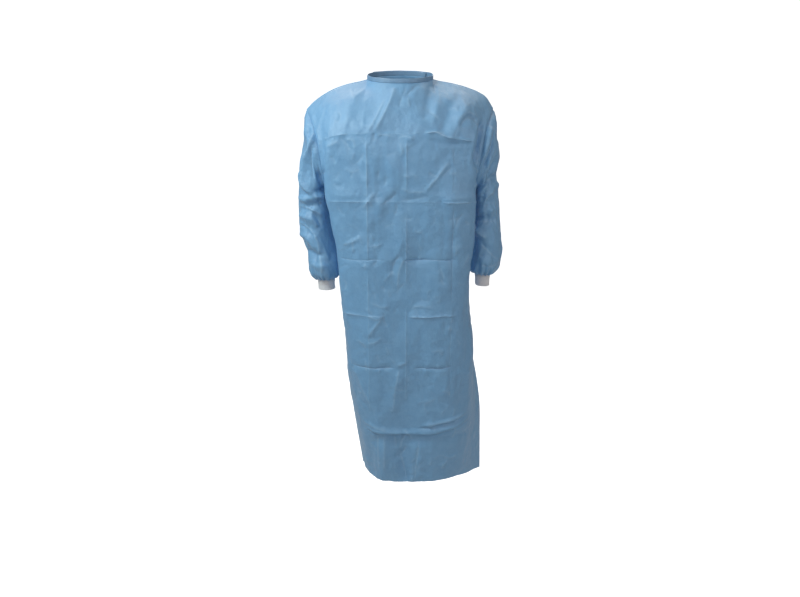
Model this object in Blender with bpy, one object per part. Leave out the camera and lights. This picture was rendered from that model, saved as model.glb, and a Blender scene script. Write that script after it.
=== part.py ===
"""A surgical gown in its worn shape, hollow and open at neck, hem and cuffs.

Metres, +Z up. The wearer faces -Y, and right and left are the wearer's: right is -X. The origin is the
centre of the neck opening, where the wearer's shoulders and neck hold the gown up.

Every piece is a wall of cloth. Its middle surface is a grid of points worked out from the tables below,
and the wall is that grid moved half a thickness out and half a thickness in. Points of the front and back
are found by a height on the panel and a share across it: -1 at the right edge, 0 at the centre and 1 at
the left edge.
"""
import math

import bmesh
import bpy
import numpy as np

WALL = 0.0015
BINDING_WALL = 0.0022
CUFF_WALL = 0.0020
# Each side of a seam is cut back by more than half of the 0.3 mm gap, for the slack of straight facets.
SEAM_CUT = 0.000225
SHARPEST_COSINE = 0.8

HEM = -1.160
UNDERARM = -0.297
TOP = 0.0
FOLD_BAND = (-1.016, -0.956)
HEM_ROWS = 3
BAND_ROWS = 5
BODY_ROWS = 11
SKIRT_ROWS = HEM_ROWS + BAND_ROWS + BODY_ROWS
YOKE_ROWS = 14
COLUMNS = 24
NECK_SHARE = 5.0 / 12.0
LAP_SHARE = 3.0 / 12.0
NECK_RIGHT = round(COLUMNS / 2 * (1.0 - NECK_SHARE))
NECK_LEFT = round(COLUMNS / 2 * (1.0 + NECK_SHARE))
LAP_START = round(COLUMNS / 2 * (1.0 - LAP_SHARE))
LAP_STEP = 0.0036
LAP_FADE = (0.27, 0.49)
CORNER_SHARE = 0.72
# How far down from the top the neck's hollows and the exact top edge blend into the plain sections.
NECK_REACH = 0.15
EDGE_REACH = 0.08
# Where folds fade out: the share of a panel beside its edges, its top, and both ends of a sleeve.
FOLD_MARGIN = 0.16
FOLD_TOP = 0.03
SLEEVE_FOLD_ENDS = (0.05, 0.03)

NECK_HALF_WIDTH = 0.089
NECK_FRONT = (-0.078, -0.0115)
NECK_BACK = (0.068, 0.016)
NECK_SIDE = (0.004, 0.003)
BINDING_HEIGHT = 0.0115
BINDING_LEAN = 0.10
BINDING_LEAN_DEPTH = 0.05
BINDING_ROWS = 2

SLEEVE_RINGS = 19
HALF_GIRTH = 0.19
# The share of the way round a sleeve: 0 under the arm, 0.5 in front, 1 outside, -0.5 behind.
TURNS = np.arange(1 - YOKE_ROWS, YOKE_ROWS + 1) / YOKE_ROWS
GATHER_DEPTH = 0.0022
GATHER_REACH = (0.012, 0.060)
CUFF_ROWS = 3

TIE_STATIONS = 28
TIE_SIDES = 8
TIE_FLATNESS = 0.5
SURFACE_STEP = 0.004

BLUE = (0.11, 0.29, 0.52)
WHITE = (0.72, 0.73, 0.74)
DEEP_BLUE = (0.08, 0.20, 0.36)
THICKNESS = {"neck_binding": BINDING_WALL, "cuff_right": CUFF_WALL, "cuff_left": CUFF_WALL}
FINISH = {"neck_binding": (DEEP_BLUE, 0.75), "cuff_right": (WHITE, 0.90), "cuff_left": (WHITE, 0.90)}


def table(names, rows):
    """A table as a dictionary: a column of numbers for each of its names."""
    return dict(zip(names.split(), np.array(rows, dtype=float).T))


# The seam between body and sleeve: a row for each station, as half widths of the right and the left side.
# The turn is the angle at which the station lies in a round sleeve section, from the underarm up.
ARMHOLE_FRONT = table("height right left y z turn", [
    (-0.297, 0.1860, 0.1900, 0.004, -0.297, 0),
    (-0.256, 0.1985, 0.2025, -0.046, -0.282, 32),
    (-0.208, 0.2110, 0.2135, -0.078, -0.242, 68),
    (-0.165, 0.2190, 0.2210, -0.083, -0.188, 94),
    (-0.110, 0.2290, 0.2300, -0.067, -0.141, 122),
    (-0.055, 0.2450, 0.2450, -0.034, -0.102, 152),
    (0.000, 0.2590, 0.2585, 0.002, -0.076, 180),
])
ARMHOLE_BACK = table("height right left y z turn", [
    (-0.297, 0.1860, 0.1900, 0.004, -0.297, 0),
    (-0.256, 0.1920, 0.1960, 0.047, -0.282, 32),
    (-0.208, 0.1990, 0.2020, 0.076, -0.242, 68),
    (-0.165, 0.2070, 0.2090, 0.082, -0.188, 94),
    (-0.110, 0.2200, 0.2210, 0.070, -0.141, 122),
    (-0.055, 0.2410, 0.2410, 0.038, -0.101, 152),
    (0.000, 0.2590, 0.2585, 0.002, -0.076, 180),
])

# The side seams below the sleeves, from the hem to the underarm.
SIDE = table("height right left y right_z left_z", [
    (-1.160, 0.120, 0.2585, 0.004, -1.167, -1.190),
    (-1.060, 0.135, 0.2550, 0.004, -1.060, -1.068),
    (-0.959, 0.149, 0.2505, 0.004, -0.959, -0.959),
    (-0.870, 0.159, 0.2375, 0.004, -0.870, -0.870),
    (-0.799, 0.163, 0.2235, 0.004, -0.799, -0.799),
    (-0.700, 0.165, 0.2140, 0.006, -0.700, -0.700),
    (-0.589, 0.165, 0.1910, 0.008, -0.589, -0.589),
    (-0.520, 0.156, 0.1780, 0.006, -0.520, -0.520),
    (-0.443, 0.158, 0.1760, 0.004, -0.443, -0.443),
    (-0.370, 0.168, 0.1800, 0.004, -0.370, -0.370),
    (-0.297, 0.186, 0.1900, 0.004, -0.297, -0.297),
])

# Sections of the front and of the back: the centre of each, and the corner where it turns to the side.
FRONT = table("height centre_x centre_y centre_z right left corner_y right_z left_z", [
    (-1.160, 0.020, -0.137, -1.158, 0.097, 0.187, -0.087, -1.156, -1.166),
    (-1.060, 0.022, -0.137, -1.060, 0.111, 0.193, -0.091, -1.060, -1.063),
    (-0.959, 0.023, -0.137, -0.959, 0.128, 0.200, -0.093, -0.959, -0.959),
    (-0.870, 0.023, -0.137, -0.870, 0.140, 0.202, -0.094, -0.870, -0.870),
    (-0.799, 0.023, -0.138, -0.799, 0.149, 0.203, -0.093, -0.799, -0.799),
    (-0.700, 0.020, -0.139, -0.700, 0.158, 0.202, -0.090, -0.700, -0.700),
    (-0.589, 0.018, -0.138, -0.589, 0.168, 0.196, -0.084, -0.589, -0.589),
    (-0.520, 0.017, -0.138, -0.520, 0.173, 0.198, -0.082, -0.520, -0.520),
    (-0.443, 0.016, -0.138, -0.443, 0.180, 0.2055, -0.082, -0.443, -0.443),
    (-0.370, 0.014, -0.138, -0.370, 0.191, 0.209, -0.084, -0.370, -0.370),
    (-0.297, 0.010, -0.139, -0.297, 0.2015, 0.207, -0.089, -0.300, -0.300),
    (-0.256, 0.007, -0.139, -0.251, 0.200, 0.205, -0.100, -0.254, -0.254),
    (-0.208, 0.004, -0.138, -0.204, 0.194, 0.197, -0.110, -0.208, -0.208),
    (-0.165, 0.002, -0.134, -0.158, 0.187, 0.189, -0.112, -0.165, -0.165),
    (-0.110, 0.001, -0.124, -0.107, 0.182, 0.184, -0.102, -0.114, -0.114),
    (-0.055, 0.000, -0.104, -0.056, 0.178, 0.180, -0.068, -0.059, -0.059),
    (0.000, 0.000, -0.078, -0.0115, 0.179, 0.179, 0.004, -0.0215, -0.0215),
])
BACK = table("height centre_x centre_y centre_z right left corner_y right_z left_z", [
    (-1.160, 0.052, 0.136, -1.160, 0.082, 0.207, 0.100, -1.160, -1.177),
    (-1.060, 0.045, 0.133, -1.060, 0.098, 0.208, 0.100, -1.060, -1.065),
    (-0.959, 0.036, 0.130, -0.959, 0.116, 0.205, 0.099, -0.959, -0.959),
    (-0.870, 0.028, 0.126, -0.870, 0.124, 0.194, 0.096, -0.870, -0.870),
    (-0.799, 0.022, 0.123, -0.799, 0.130, 0.180, 0.094, -0.799, -0.799),
    (-0.700, 0.016, 0.117, -0.700, 0.134, 0.166, 0.090, -0.700, -0.700),
    (-0.589, 0.010, 0.104, -0.589, 0.132, 0.152, 0.080, -0.589, -0.589),
    (-0.520, 0.008, 0.102, -0.520, 0.128, 0.146, 0.078, -0.520, -0.520),
    (-0.443, 0.006, 0.108, -0.443, 0.132, 0.146, 0.084, -0.443, -0.443),
    (-0.370, 0.004, 0.115, -0.370, 0.142, 0.150, 0.092, -0.370, -0.370),
    (-0.297, 0.002, 0.121, -0.297, 0.156, 0.160, 0.098, -0.298, -0.298),
    (-0.256, 0.001, 0.122, -0.251, 0.161, 0.164, 0.101, -0.254, -0.254),
    (-0.208, 0.000, 0.123, -0.203, 0.168, 0.170, 0.105, -0.208, -0.208),
    (-0.165, 0.000, 0.120, -0.153, 0.172, 0.173, 0.103, -0.162, -0.162),
    (-0.110, 0.000, 0.112, -0.096, 0.174, 0.175, 0.090, -0.108, -0.108),
    (-0.055, 0.000, 0.093, -0.036, 0.176, 0.176, 0.057, -0.056, -0.056),
    (0.000, 0.000, 0.068, 0.016, 0.179, 0.179, 0.004, -0.0215, -0.0215),
])

# The height of the shoulder line, by the share of the way from the neck to the sleeve.
SHOULDER = table("share right left", [
    (0.00, 0.0030, 0.0030),
    (0.12, -0.0020, -0.0012),
    (0.33, -0.0095, -0.0075),
    (0.60, -0.0260, -0.0200),
    (0.76, -0.0415, -0.0310),
    (0.89, -0.0575, -0.0460),
    (1.00, -0.0760, -0.0740),
])

# Sleeve sections below the armhole: the inner and outer ends of each and its depth.
SLEEVE_RIGHT = table("inner_x inner_z outer_x outer_z middle_y half_depth", [
    (0.204, -0.302, 0.2650, -0.118, 0.000, 0.0810),
    (0.206, -0.313, 0.2685, -0.165, 0.000, 0.0780),
    (0.203, -0.330, 0.2800, -0.222, 0.001, 0.0735),
    (0.196, -0.352, 0.2845, -0.290, 0.001, 0.0670),
    (0.191, -0.383, 0.2890, -0.348, -0.001, 0.0650),
    (0.187, -0.420, 0.2880, -0.398, -0.004, 0.0640),
    (0.182, -0.451, 0.2780, -0.438, -0.008, 0.0620),
    (0.177, -0.486, 0.2640, -0.480, -0.012, 0.0600),
    (0.175, -0.514, 0.2640, -0.514, -0.016, 0.0580),
    (0.178, -0.536, 0.2590, -0.537, -0.018, 0.0510),
    (0.186, -0.548, 0.2485, -0.549, -0.019, 0.0390),
    (0.1935, -0.552, 0.2395, -0.553, -0.020, 0.0270),
])
SLEEVE_LEFT = table("inner_x inner_z outer_x outer_z middle_y half_depth", [
    (0.210, -0.302, 0.2665, -0.112, 0.000, 0.0810),
    (0.211, -0.313, 0.2720, -0.154, 0.000, 0.0780),
    (0.207, -0.329, 0.2795, -0.202, 0.001, 0.0735),
    (0.204, -0.347, 0.2725, -0.252, 0.001, 0.0665),
    (0.204, -0.368, 0.2790, -0.297, 0.000, 0.0655),
    (0.203, -0.397, 0.2855, -0.357, -0.002, 0.0650),
    (0.202, -0.434, 0.2910, -0.420, -0.004, 0.0640),
    (0.200, -0.474, 0.2935, -0.474, -0.007, 0.0620),
    (0.200, -0.503, 0.2920, -0.506, -0.009, 0.0585),
    (0.204, -0.524, 0.2845, -0.528, -0.010, 0.0510),
    (0.212, -0.535, 0.2740, -0.538, -0.010, 0.0390),
    (0.2220, -0.538, 0.2640, -0.540, -0.010, 0.0260),
])

# Cuff sections: each end of the knitted tube below the gathered seam.
CUFF_RIGHT = table("inner_x inner_z outer_x outer_z middle_y half_depth", [
    (0.1935, -0.552, 0.2395, -0.553, -0.020, 0.0270),
    (0.1930, -0.567, 0.2395, -0.568, -0.021, 0.0268),
    (0.1915, -0.582, 0.2390, -0.583, -0.022, 0.0270),
])
CUFF_LEFT = table("inner_x inner_z outer_x outer_z middle_y half_depth", [
    (0.2220, -0.538, 0.2640, -0.540, -0.010, 0.0260),
    (0.2225, -0.555, 0.2635, -0.556, -0.011, 0.0255),
    (0.2230, -0.573, 0.2635, -0.574, -0.012, 0.0260),
])

# The largest folds: straight soft ridges, or troughs where the rise is negative.
FRONT_FOLDS = table("from_x from_z to_x to_z half_width rise", [
    (-0.095, -0.985, 0.015, -0.996, 0.013, 0.0070),
    (0.015, -0.996, 0.200, -0.968, 0.013, 0.0075),
    (-0.110, -1.020, 0.200, -1.010, 0.016, -0.0040),
    (-0.050, -1.010, -0.052, -1.160, 0.016, 0.0055),
    (0.006, -1.040, 0.022, -1.160, 0.018, -0.0060),
    (0.052, -1.020, 0.044, -1.160, 0.016, 0.0050),
    (-0.006, -0.790, -0.018, -0.930, 0.018, 0.0050),
    (0.172, -0.810, 0.184, -0.930, 0.022, -0.0050),
    (-0.127, -0.790, -0.088, -0.905, 0.018, 0.0040),
    (-0.019, -0.470, -0.019, -0.590, 0.020, -0.0040),
    (-0.042, -0.610, -0.085, -0.700, 0.020, 0.0040),
    (-0.051, -0.300, -0.087, -0.400, 0.020, 0.0050),
    (-0.018, -0.020, -0.075, -0.140, 0.018, 0.0035),
    (0.110, -0.312, 0.190, -0.312, 0.014, 0.0030),
])
BACK_FOLDS = table("from_x from_z to_x to_z half_width rise", [
    (-0.065, -0.490, -0.085, -0.380, 0.020, 0.0055),
    (0.072, -0.495, 0.095, -0.390, 0.020, 0.0050),
    (-0.080, -0.660, -0.090, -0.800, 0.022, -0.0055),
    (0.100, -0.660, 0.125, -0.820, 0.022, -0.0055),
    (-0.060, -0.900, -0.056, -1.160, 0.024, 0.0060),
    (0.115, -0.880, 0.140, -1.160, 0.026, 0.0065),
    (-0.110, -0.130, -0.070, -0.270, 0.024, 0.0040),
    (0.120, -0.120, 0.085, -0.280, 0.024, 0.0040),
])
# Along each sleeve: a share of the way round (0 inner, 0.5 front, 1 outer, -0.5 back) and a distance down.
SLEEVE_FOLDS_RIGHT = table("from_x from_z to_x to_z half_width rise", [
    (0.72, 0.045, 0.86, 0.150, 0.014, -0.0070),
    (0.55, 0.080, 0.92, 0.215, 0.016, 0.0050),
    (0.25, 0.150, 0.62, 0.185, 0.013, -0.0070),
    (0.35, 0.225, 0.85, 0.260, 0.015, 0.0055),
    (0.30, 0.275, 0.90, 0.300, 0.014, -0.0050),
    (0.30, 0.330, 0.75, 0.370, 0.018, 0.0040),
    (-0.70, 0.060, -0.45, 0.190, 0.016, -0.0060),
    (-0.80, 0.230, -0.30, 0.280, 0.016, 0.0050),
])
SLEEVE_FOLDS_LEFT = table("from_x from_z to_x to_z half_width rise", [
    (0.80, 0.040, 0.55, 0.120, 0.014, -0.0070),
    (0.82, 0.085, 0.45, 0.175, 0.014, -0.0065),
    (0.45, 0.165, 0.98, 0.150, 0.013, -0.0060),
    (0.40, 0.240, 0.90, 0.245, 0.015, -0.0050),
    (0.40, 0.200, 0.90, 0.200, 0.015, 0.0045),
    (0.45, 0.310, 0.85, 0.350, 0.016, -0.0050),
    (-0.72, 0.070, -0.45, 0.185, 0.016, -0.0060),
    (-0.80, 0.250, -0.35, 0.290, 0.016, 0.0050),
])

# The route of each tie from the side seam to the knot and down its free end: across the back, the height,
# how far outside the cloth, and the width and thickness of the tape there.
TIE_RIGHT = table("along across height outside width thickness", [
    (0.00, -0.955, -0.555, 0.0030, 0.024, 0.0016),
    (0.15, -0.800, -0.549, 0.0032, 0.024, 0.0016),
    (0.32, -0.500, -0.540, 0.0036, 0.022, 0.0018),
    (0.42, -0.280, -0.540, 0.0078, 0.018, 0.0026),
    (0.50, -0.080, -0.545, 0.0130, 0.009, 0.0045),
    (0.55, 0.010, -0.548, 0.0165, 0.008, 0.0045),
    (0.60, 0.046, -0.563, 0.0165, 0.008, 0.0045),
    (0.70, 0.090, -0.598, 0.0100, 0.014, 0.0024),
    (0.86, 0.130, -0.655, 0.0085, 0.019, 0.0016),
    (1.00, 0.140, -0.735, 0.0085, 0.021, 0.0016),
])
TIE_LEFT = table("along across height outside width thickness", [
    (0.00, 0.955, -0.555, 0.0030, 0.024, 0.0016),
    (0.15, 0.800, -0.552, 0.0032, 0.024, 0.0016),
    (0.32, 0.500, -0.550, 0.0046, 0.022, 0.0018),
    (0.42, 0.280, -0.552, 0.0072, 0.018, 0.0024),
    (0.50, 0.110, -0.556, 0.0088, 0.009, 0.0045),
    (0.55, -0.002, -0.562, 0.0092, 0.008, 0.0045),
    (0.60, -0.060, -0.575, 0.0088, 0.008, 0.0040),
    (0.70, -0.100, -0.606, 0.0086, 0.015, 0.0022),
    (0.86, -0.120, -0.680, 0.0085, 0.019, 0.0016),
    (1.00, -0.112, -0.765, 0.0085, 0.021, 0.0016),
])


def curve(knots, values, places):
    """The smooth curve through a value at each knot, read at the places. Values may be arrays."""
    knots = np.asarray(knots, dtype=float)
    values = np.asarray(values, dtype=float)
    places = np.asarray(places, dtype=float)
    extra = (1,) * (values.ndim - 1)
    steps = np.diff(knots).reshape((-1,) + extra)
    slopes = np.diff(values, axis=0) / steps
    inner = (steps[:-1] * slopes[1:] + steps[1:] * slopes[:-1]) / (steps[:-1] + steps[1:])
    tangents = np.concatenate([slopes[:1], inner, slopes[-1:]])
    index = np.clip(np.searchsorted(knots, places, side="right") - 1, 0, len(knots) - 2)
    step = steps[index]
    t = (places - knots[index]).reshape((-1,) + extra) / step
    start, end = values[index], values[index + 1]
    leave, arrive = tangents[index] * step, tangents[index + 1] * step
    return ((2 * t**3 - 3 * t**2 + 1) * start + (t**3 - 2 * t**2 + t) * leave
            + (3 * t**2 - 2 * t**3) * end + (t**3 - t**2) * arrive)


def ease(value, start, end):
    """0 at the start and 1 at the end, smooth at both."""
    share = np.clip((np.asarray(value, dtype=float) - start) / (end - start), 0.0, 1.0)
    return share * share * (3.0 - 2.0 * share)


def read(columns, names, places):
    """Several columns of a table, read along its first column."""
    knots = next(iter(columns.values()))
    return [curve(knots, columns[name], places) for name in names.split()]


def side_sign(side):
    return -1.0 if side == "right" else 1.0


def armhole(side, face, heights):
    """Points of the seam between body and sleeve, on its front or back half."""
    columns = ARMHOLE_FRONT if face == "front" else ARMHOLE_BACK
    x, y, z = read(columns, side + " y z", heights)
    return np.stack([side_sign(side) * x, y, z], axis=-1)


def panel_edge(side, face, heights):
    """The side seam up to the underarm, and the armhole above it."""
    x, y, z = read(SIDE, f"{side} y {side}_z", np.minimum(heights, UNDERARM))
    below = np.stack([side_sign(side) * x, y, z], axis=-1)
    above = armhole(side, face, np.maximum(heights, UNDERARM))
    return np.where((heights > UNDERARM)[:, None], above, below)


def top_edge(face, shares):
    """The shoulder seams and the neckline between them."""
    size = np.abs(shares)
    turn = np.clip(shares / NECK_SHARE, -1.0, 1.0) * math.pi / 2
    middle = NECK_FRONT if face == "front" else NECK_BACK
    neck = np.stack([
        NECK_HALF_WIDTH * np.sin(turn),
        NECK_SIDE[0] + (middle[0] - NECK_SIDE[0]) * np.cos(turn),
        NECK_SIDE[1] + (middle[1] - NECK_SIDE[1]) * np.cos(turn),
    ], axis=-1)
    along = np.clip((size - NECK_SHARE) / (1.0 - NECK_SHARE), 0.0, 1.0)
    tips = np.where(shares < 0, ARMHOLE_FRONT["right"][-1], ARMHOLE_FRONT["left"][-1])
    shoulder = np.stack([
        np.sign(shares) * (NECK_HALF_WIDTH + (tips - NECK_HALF_WIDTH) * along),
        NECK_SIDE[0] + (ARMHOLE_FRONT["y"][-1] - NECK_SIDE[0]) * along,
        np.where(shares < 0, *read(SHOULDER, "right left", along)),
    ], axis=-1)
    return np.where((size < NECK_SHARE)[:, None], neck, shoulder)


def face_points(face, heights, shares):
    """The grid of a front or a whole back: a row for each height, a column for each share."""
    columns = FRONT if face == "front" else BACK
    rows = np.append(heights, TOP)
    centre = np.stack(read(columns, "centre_x centre_y centre_z", rows), axis=-1)
    right, left, y, right_z, left_z = read(columns, "right left corner_y right_z left_z", rows)
    corner_right, corner_left = np.stack([-right, y, right_z], axis=-1), np.stack([left, y, left_z], axis=-1)
    edge_right, edge_left = panel_edge("right", face, rows), panel_edge("left", face, rows)
    five = (-1.0, -CORNER_SHARE, 0.0, CORNER_SHARE, 1.0)
    sides = np.array([-NECK_SHARE, NECK_SHARE])
    neck = curve(five, [edge_right, corner_right, centre, corner_left, edge_left], sides)
    bend = ease(rows, TOP - NECK_REACH, TOP)[None, :, None]
    neck = neck + bend * (top_edge(face, sides)[:, None] - neck[:, -1:])
    seven = (-1.0, -CORNER_SHARE, -NECK_SHARE, 0.0, NECK_SHARE, CORNER_SHARE, 1.0)
    stations = [edge_right, corner_right, neck[0], centre, neck[1], corner_left, edge_left]
    grid = curve(seven, stations, shares).transpose(1, 0, 2)
    missed = top_edge(face, shares) - grid[-1]
    return (grid + ease(rows, TOP - EDGE_REACH, TOP)[:, None, None] * missed)[:-1]


def fold_rise(folds, across, along):
    """How far the soft ridges and troughs of a table lift each point."""
    rise = np.zeros(np.shape(across))
    for from_x, from_z, to_x, to_z, half_width, lift in zip(*folds.values()):
        run = np.array([to_x - from_x, to_z - from_z])
        place = ((across - from_x) * run[0] + (along - from_z) * run[1]) / (run @ run)
        near = np.clip(place, 0.0, 1.0)
        away = np.hypot(across - from_x - near * run[0], along - from_z - near * run[1])
        rise += lift * np.exp(-(away / half_width) ** 2)
    return rise


def normals(grid, closed=False):
    """Unit normals of a grid's surface, facing away from the middle of the piece."""
    if closed:
        across = np.roll(grid, -1, axis=1) - np.roll(grid, 1, axis=1)
        spokes = grid - grid.mean(axis=1, keepdims=True)
    else:
        across = np.gradient(grid, axis=1)
        spokes = grid * (1.0, 1.0, 0.0)
    cross = np.cross(across, np.gradient(grid, axis=0))
    cross /= np.linalg.norm(cross, axis=-1, keepdims=True)
    return cross if np.sum(cross * spokes) > 0 else -cross


def row_heights():
    """Heights of a panel's rows: the skirt from the hem, its fold band, and the yoke to the neck."""
    below = np.linspace(HEM, FOLD_BAND[0], HEM_ROWS + 1)
    band = np.linspace(*FOLD_BAND, BAND_ROWS + 1)
    above = np.linspace(FOLD_BAND[1], UNDERARM, BODY_ROWS + 1)
    yoke = np.linspace(UNDERARM, TOP, YOKE_ROWS + 1)
    return np.concatenate([below, band[1:], above[1:], yoke[1:]])


def panel_grid(face, folds):
    """The grid of the front, or of a back as if it were one piece, with its largest folds."""
    heights = row_heights()
    shares = np.linspace(-1.0, 1.0, COLUMNS + 1)
    grid = face_points(face, heights, shares)
    inside = ease(1.0 - np.abs(shares), 0.0, FOLD_MARGIN)[None] * ease(-heights, TOP, FOLD_TOP)[:, None]
    rise = fold_rise(folds, grid[..., 0], grid[..., 2]) * inside
    return grid + normals(grid) * rise[..., None]


def lap_rise(shares):
    """How far the outer back panel stands off the under one: 0 at its side, a full step where they lap."""
    return LAP_STEP * (1.0 - ease(shares, *LAP_FADE))


def back_halves():
    """The two halves of the wrapped back: the right one under, the left one a step outside it."""
    grid = panel_grid("back", BACK_FOLDS)
    rise = lap_rise(np.linspace(-1.0, 1.0, COLUMNS + 1))
    raised = grid + normals(grid) * rise[None, :, None]
    lap = round(LAP_SHARE * COLUMNS / 2)
    return grid[:, :COLUMNS // 2 + lap + 1], raised[:, COLUMNS // 2 - lap:]


def ring(columns, row, side):
    """One closed section of a sleeve or cuff, its points at the same turns as the armhole's."""
    heights = UNDERARM + np.abs(TURNS) * (TOP - UNDERARM)
    angle = np.radians(read(ARMHOLE_FRONT, "turn", heights)[0]) * np.sign(TURNS)
    sign = side_sign(side)
    middle_y = columns["middle_y"][row]
    inner = np.array([sign * columns["inner_x"][row], middle_y, columns["inner_z"][row]])
    outer = np.array([sign * columns["outer_x"][row], middle_y, columns["outer_z"][row]])
    forward = np.array([0.0, -columns["half_depth"][row], 0.0])
    across = np.cos(angle)[:, None] * (inner - outer) / 2
    return (inner + outer) / 2 + across + np.sin(angle)[:, None] * forward


def armhole_ring(side):
    """The armhole as a closed section, its points shared with the rows of the yoke."""
    heights = UNDERARM + np.abs(TURNS) * (TOP - UNDERARM)
    back, front = armhole(side, "back", heights), armhole(side, "front", heights)
    return np.where((TURNS < 0)[:, None], back, front)


def sleeve_grid(side):
    """A sleeve from the armhole to the gathered seam of its cuff."""
    columns = SLEEVE_RIGHT if side == "right" else SLEEVE_LEFT
    folds = SLEEVE_FOLDS_RIGHT if side == "right" else SLEEVE_FOLDS_LEFT
    sections = [ring(columns, row, side) for row in range(len(columns["inner_x"]))]
    sections = np.stack([armhole_ring(side)] + sections)
    strides = np.linalg.norm(np.diff(sections, axis=0), axis=-1).mean(axis=1)
    knots = np.concatenate([[0.0], np.cumsum(strides)])
    downs = np.interp(np.linspace(0, len(knots) - 1, SLEEVE_RINGS), np.arange(len(knots)), knots)
    grid = curve(knots, sections, downs)
    left = knots[-1] - downs
    girth, distance = np.meshgrid(TURNS * HALF_GIRTH, downs)
    metres = dict(folds, from_x=folds["from_x"] * HALF_GIRTH, to_x=folds["to_x"] * HALF_GIRTH)
    inside = ease(downs, 0.0, SLEEVE_FOLD_ENDS[0]) * ease(left, 0.0, SLEEVE_FOLD_ENDS[1])
    rise = fold_rise(metres, girth, distance) * inside[:, None]
    gathers = GATHER_DEPTH * ease(left, 0.0, GATHER_REACH[0]) * (1.0 - ease(left, *GATHER_REACH))
    rise = rise + gathers[:, None] * np.where(np.arange(len(TURNS)) % 2, 1.0, -1.0)[None]
    return grid + normals(grid, closed=True) * rise[..., None]


def cuff_grid(side):
    """A knitted cuff below the gathered end of its sleeve."""
    columns = CUFF_RIGHT if side == "right" else CUFF_LEFT
    sections = np.stack([ring(columns, row, side) for row in range(len(columns["inner_x"]))])
    return curve(np.arange(len(sections)), sections, np.linspace(0, len(sections) - 1, CUFF_ROWS + 1))


def binding_grid(pieces):
    """The strip round the neck on the panels' top edges, its ends lapped at the centre back."""
    foot = np.concatenate([
        pieces["back_panel_right"][-1, NECK_RIGHT:][::-1],
        pieces["front_panel"][-1, NECK_RIGHT + 1:NECK_LEFT],
        pieces["back_panel_left"][-1, :NECK_LEFT - LAP_START + 1][::-1],
    ])
    lean = np.zeros_like(foot)
    lean[:, 1] = BINDING_LEAN * np.clip(-foot[:, 1] / BINDING_LEAN_DEPTH, -1.0, 1.0)
    lean[:, 2] = 1.0
    return foot[None] + np.linspace(0.0, BINDING_HEIGHT, BINDING_ROWS + 1)[:, None, None] * lean[None]


def square_off(edge, inward):
    """Unit directions from an edge into its piece, at right angles to the edge."""
    along = np.gradient(edge, axis=0)
    along /= np.linalg.norm(along, axis=-1, keepdims=True)
    away = inward - edge
    away -= np.sum(away * along, axis=-1, keepdims=True) * along
    return away / np.linalg.norm(away, axis=-1, keepdims=True)


def cut(edge, inward, other_inward, thickness):
    """How far an edge moves into its piece, so that walls meeting there at an angle stay apart."""
    mine = square_off(edge, inward)
    other = square_off(edge, other_inward)
    cosine = np.clip(np.sum(mine * other, axis=-1), -1.0, SHARPEST_COSINE)
    distance = SEAM_CUT + thickness / 2 * np.sqrt((1 + cosine) / (1 - cosine))
    return mine * distance[..., None]


def join(pieces, moves, first, second):
    """Cut both edges of a seam back. Each side names its piece, its edge and the points next to it."""
    name, edge, following = first
    other_name, other_edge, other_following = second
    mine, other = pieces[name], pieces[other_name]
    thickness = (THICKNESS.get(name, WALL) + THICKNESS.get(other_name, WALL)) / 2
    inward, other_inward = mine[following], other[other_following]
    moves[name][edge] += cut(mine[edge], inward, other_inward, thickness)
    moves[other_name][other_edge] += cut(other[other_edge], other_inward, inward, thickness)


def seams():
    """Every seam: the two pieces, their edges and the points next to the edges, in the same order."""
    under_ring = YOKE_ROWS - 1
    front_ring = np.arange(under_ring, 2 * YOKE_ROWS)
    back_ring = np.append(np.arange(under_ring, -1, -1), 2 * YOKE_ROWS - 1)
    neck_left_own = NECK_LEFT - LAP_START
    for side, edge, following in (("right", 0, 1), ("left", -1, -2)):
        back, sleeve, cuff = "back_panel_" + side, "sleeve_" + side, "cuff_" + side
        yield (("front_panel", np.s_[:SKIRT_ROWS, edge], np.s_[:SKIRT_ROWS, following]),
               (back, np.s_[:SKIRT_ROWS, edge], np.s_[:SKIRT_ROWS, following]))
        yield (("front_panel", np.s_[SKIRT_ROWS:, edge], np.s_[SKIRT_ROWS:, following]),
               (sleeve, np.s_[0, front_ring], np.s_[1, front_ring]))
        yield ((back, np.s_[SKIRT_ROWS:, edge], np.s_[SKIRT_ROWS:, following]),
               (sleeve, np.s_[0, back_ring], np.s_[1, back_ring]))
        yield ((sleeve, np.s_[-1, :], np.s_[-2, :]), (cuff, np.s_[0, :], np.s_[1, :]))
    yield (("front_panel", np.s_[-1, :NECK_RIGHT + 1], np.s_[-2, :NECK_RIGHT + 1]),
           ("back_panel_right", np.s_[-1, :NECK_RIGHT + 1], np.s_[-2, :NECK_RIGHT + 1]))
    yield (("front_panel", np.s_[-1, NECK_LEFT:], np.s_[-2, NECK_LEFT:]),
           ("back_panel_left", np.s_[-1, neck_left_own:], np.s_[-2, neck_left_own:]))
    spread = COLUMNS // 2 + round(LAP_SHARE * COLUMNS / 2) - NECK_RIGHT
    front_end = spread + NECK_LEFT - NECK_RIGHT + 1
    yield (("back_panel_right", np.s_[-1, :NECK_RIGHT:-1], np.s_[-2, :NECK_RIGHT:-1]),
           ("neck_binding", np.s_[0, :spread], np.s_[1, :spread]))
    yield (("front_panel", np.s_[-1, NECK_RIGHT:NECK_LEFT + 1], np.s_[-2, NECK_RIGHT:NECK_LEFT + 1]),
           ("neck_binding", np.s_[0, spread:front_end], np.s_[1, spread:front_end]))
    yield (("back_panel_left", np.s_[-1, neck_left_own - 1::-1], np.s_[-2, neck_left_own - 1::-1]),
           ("neck_binding", np.s_[0, front_end:], np.s_[1, front_end:]))


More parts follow.
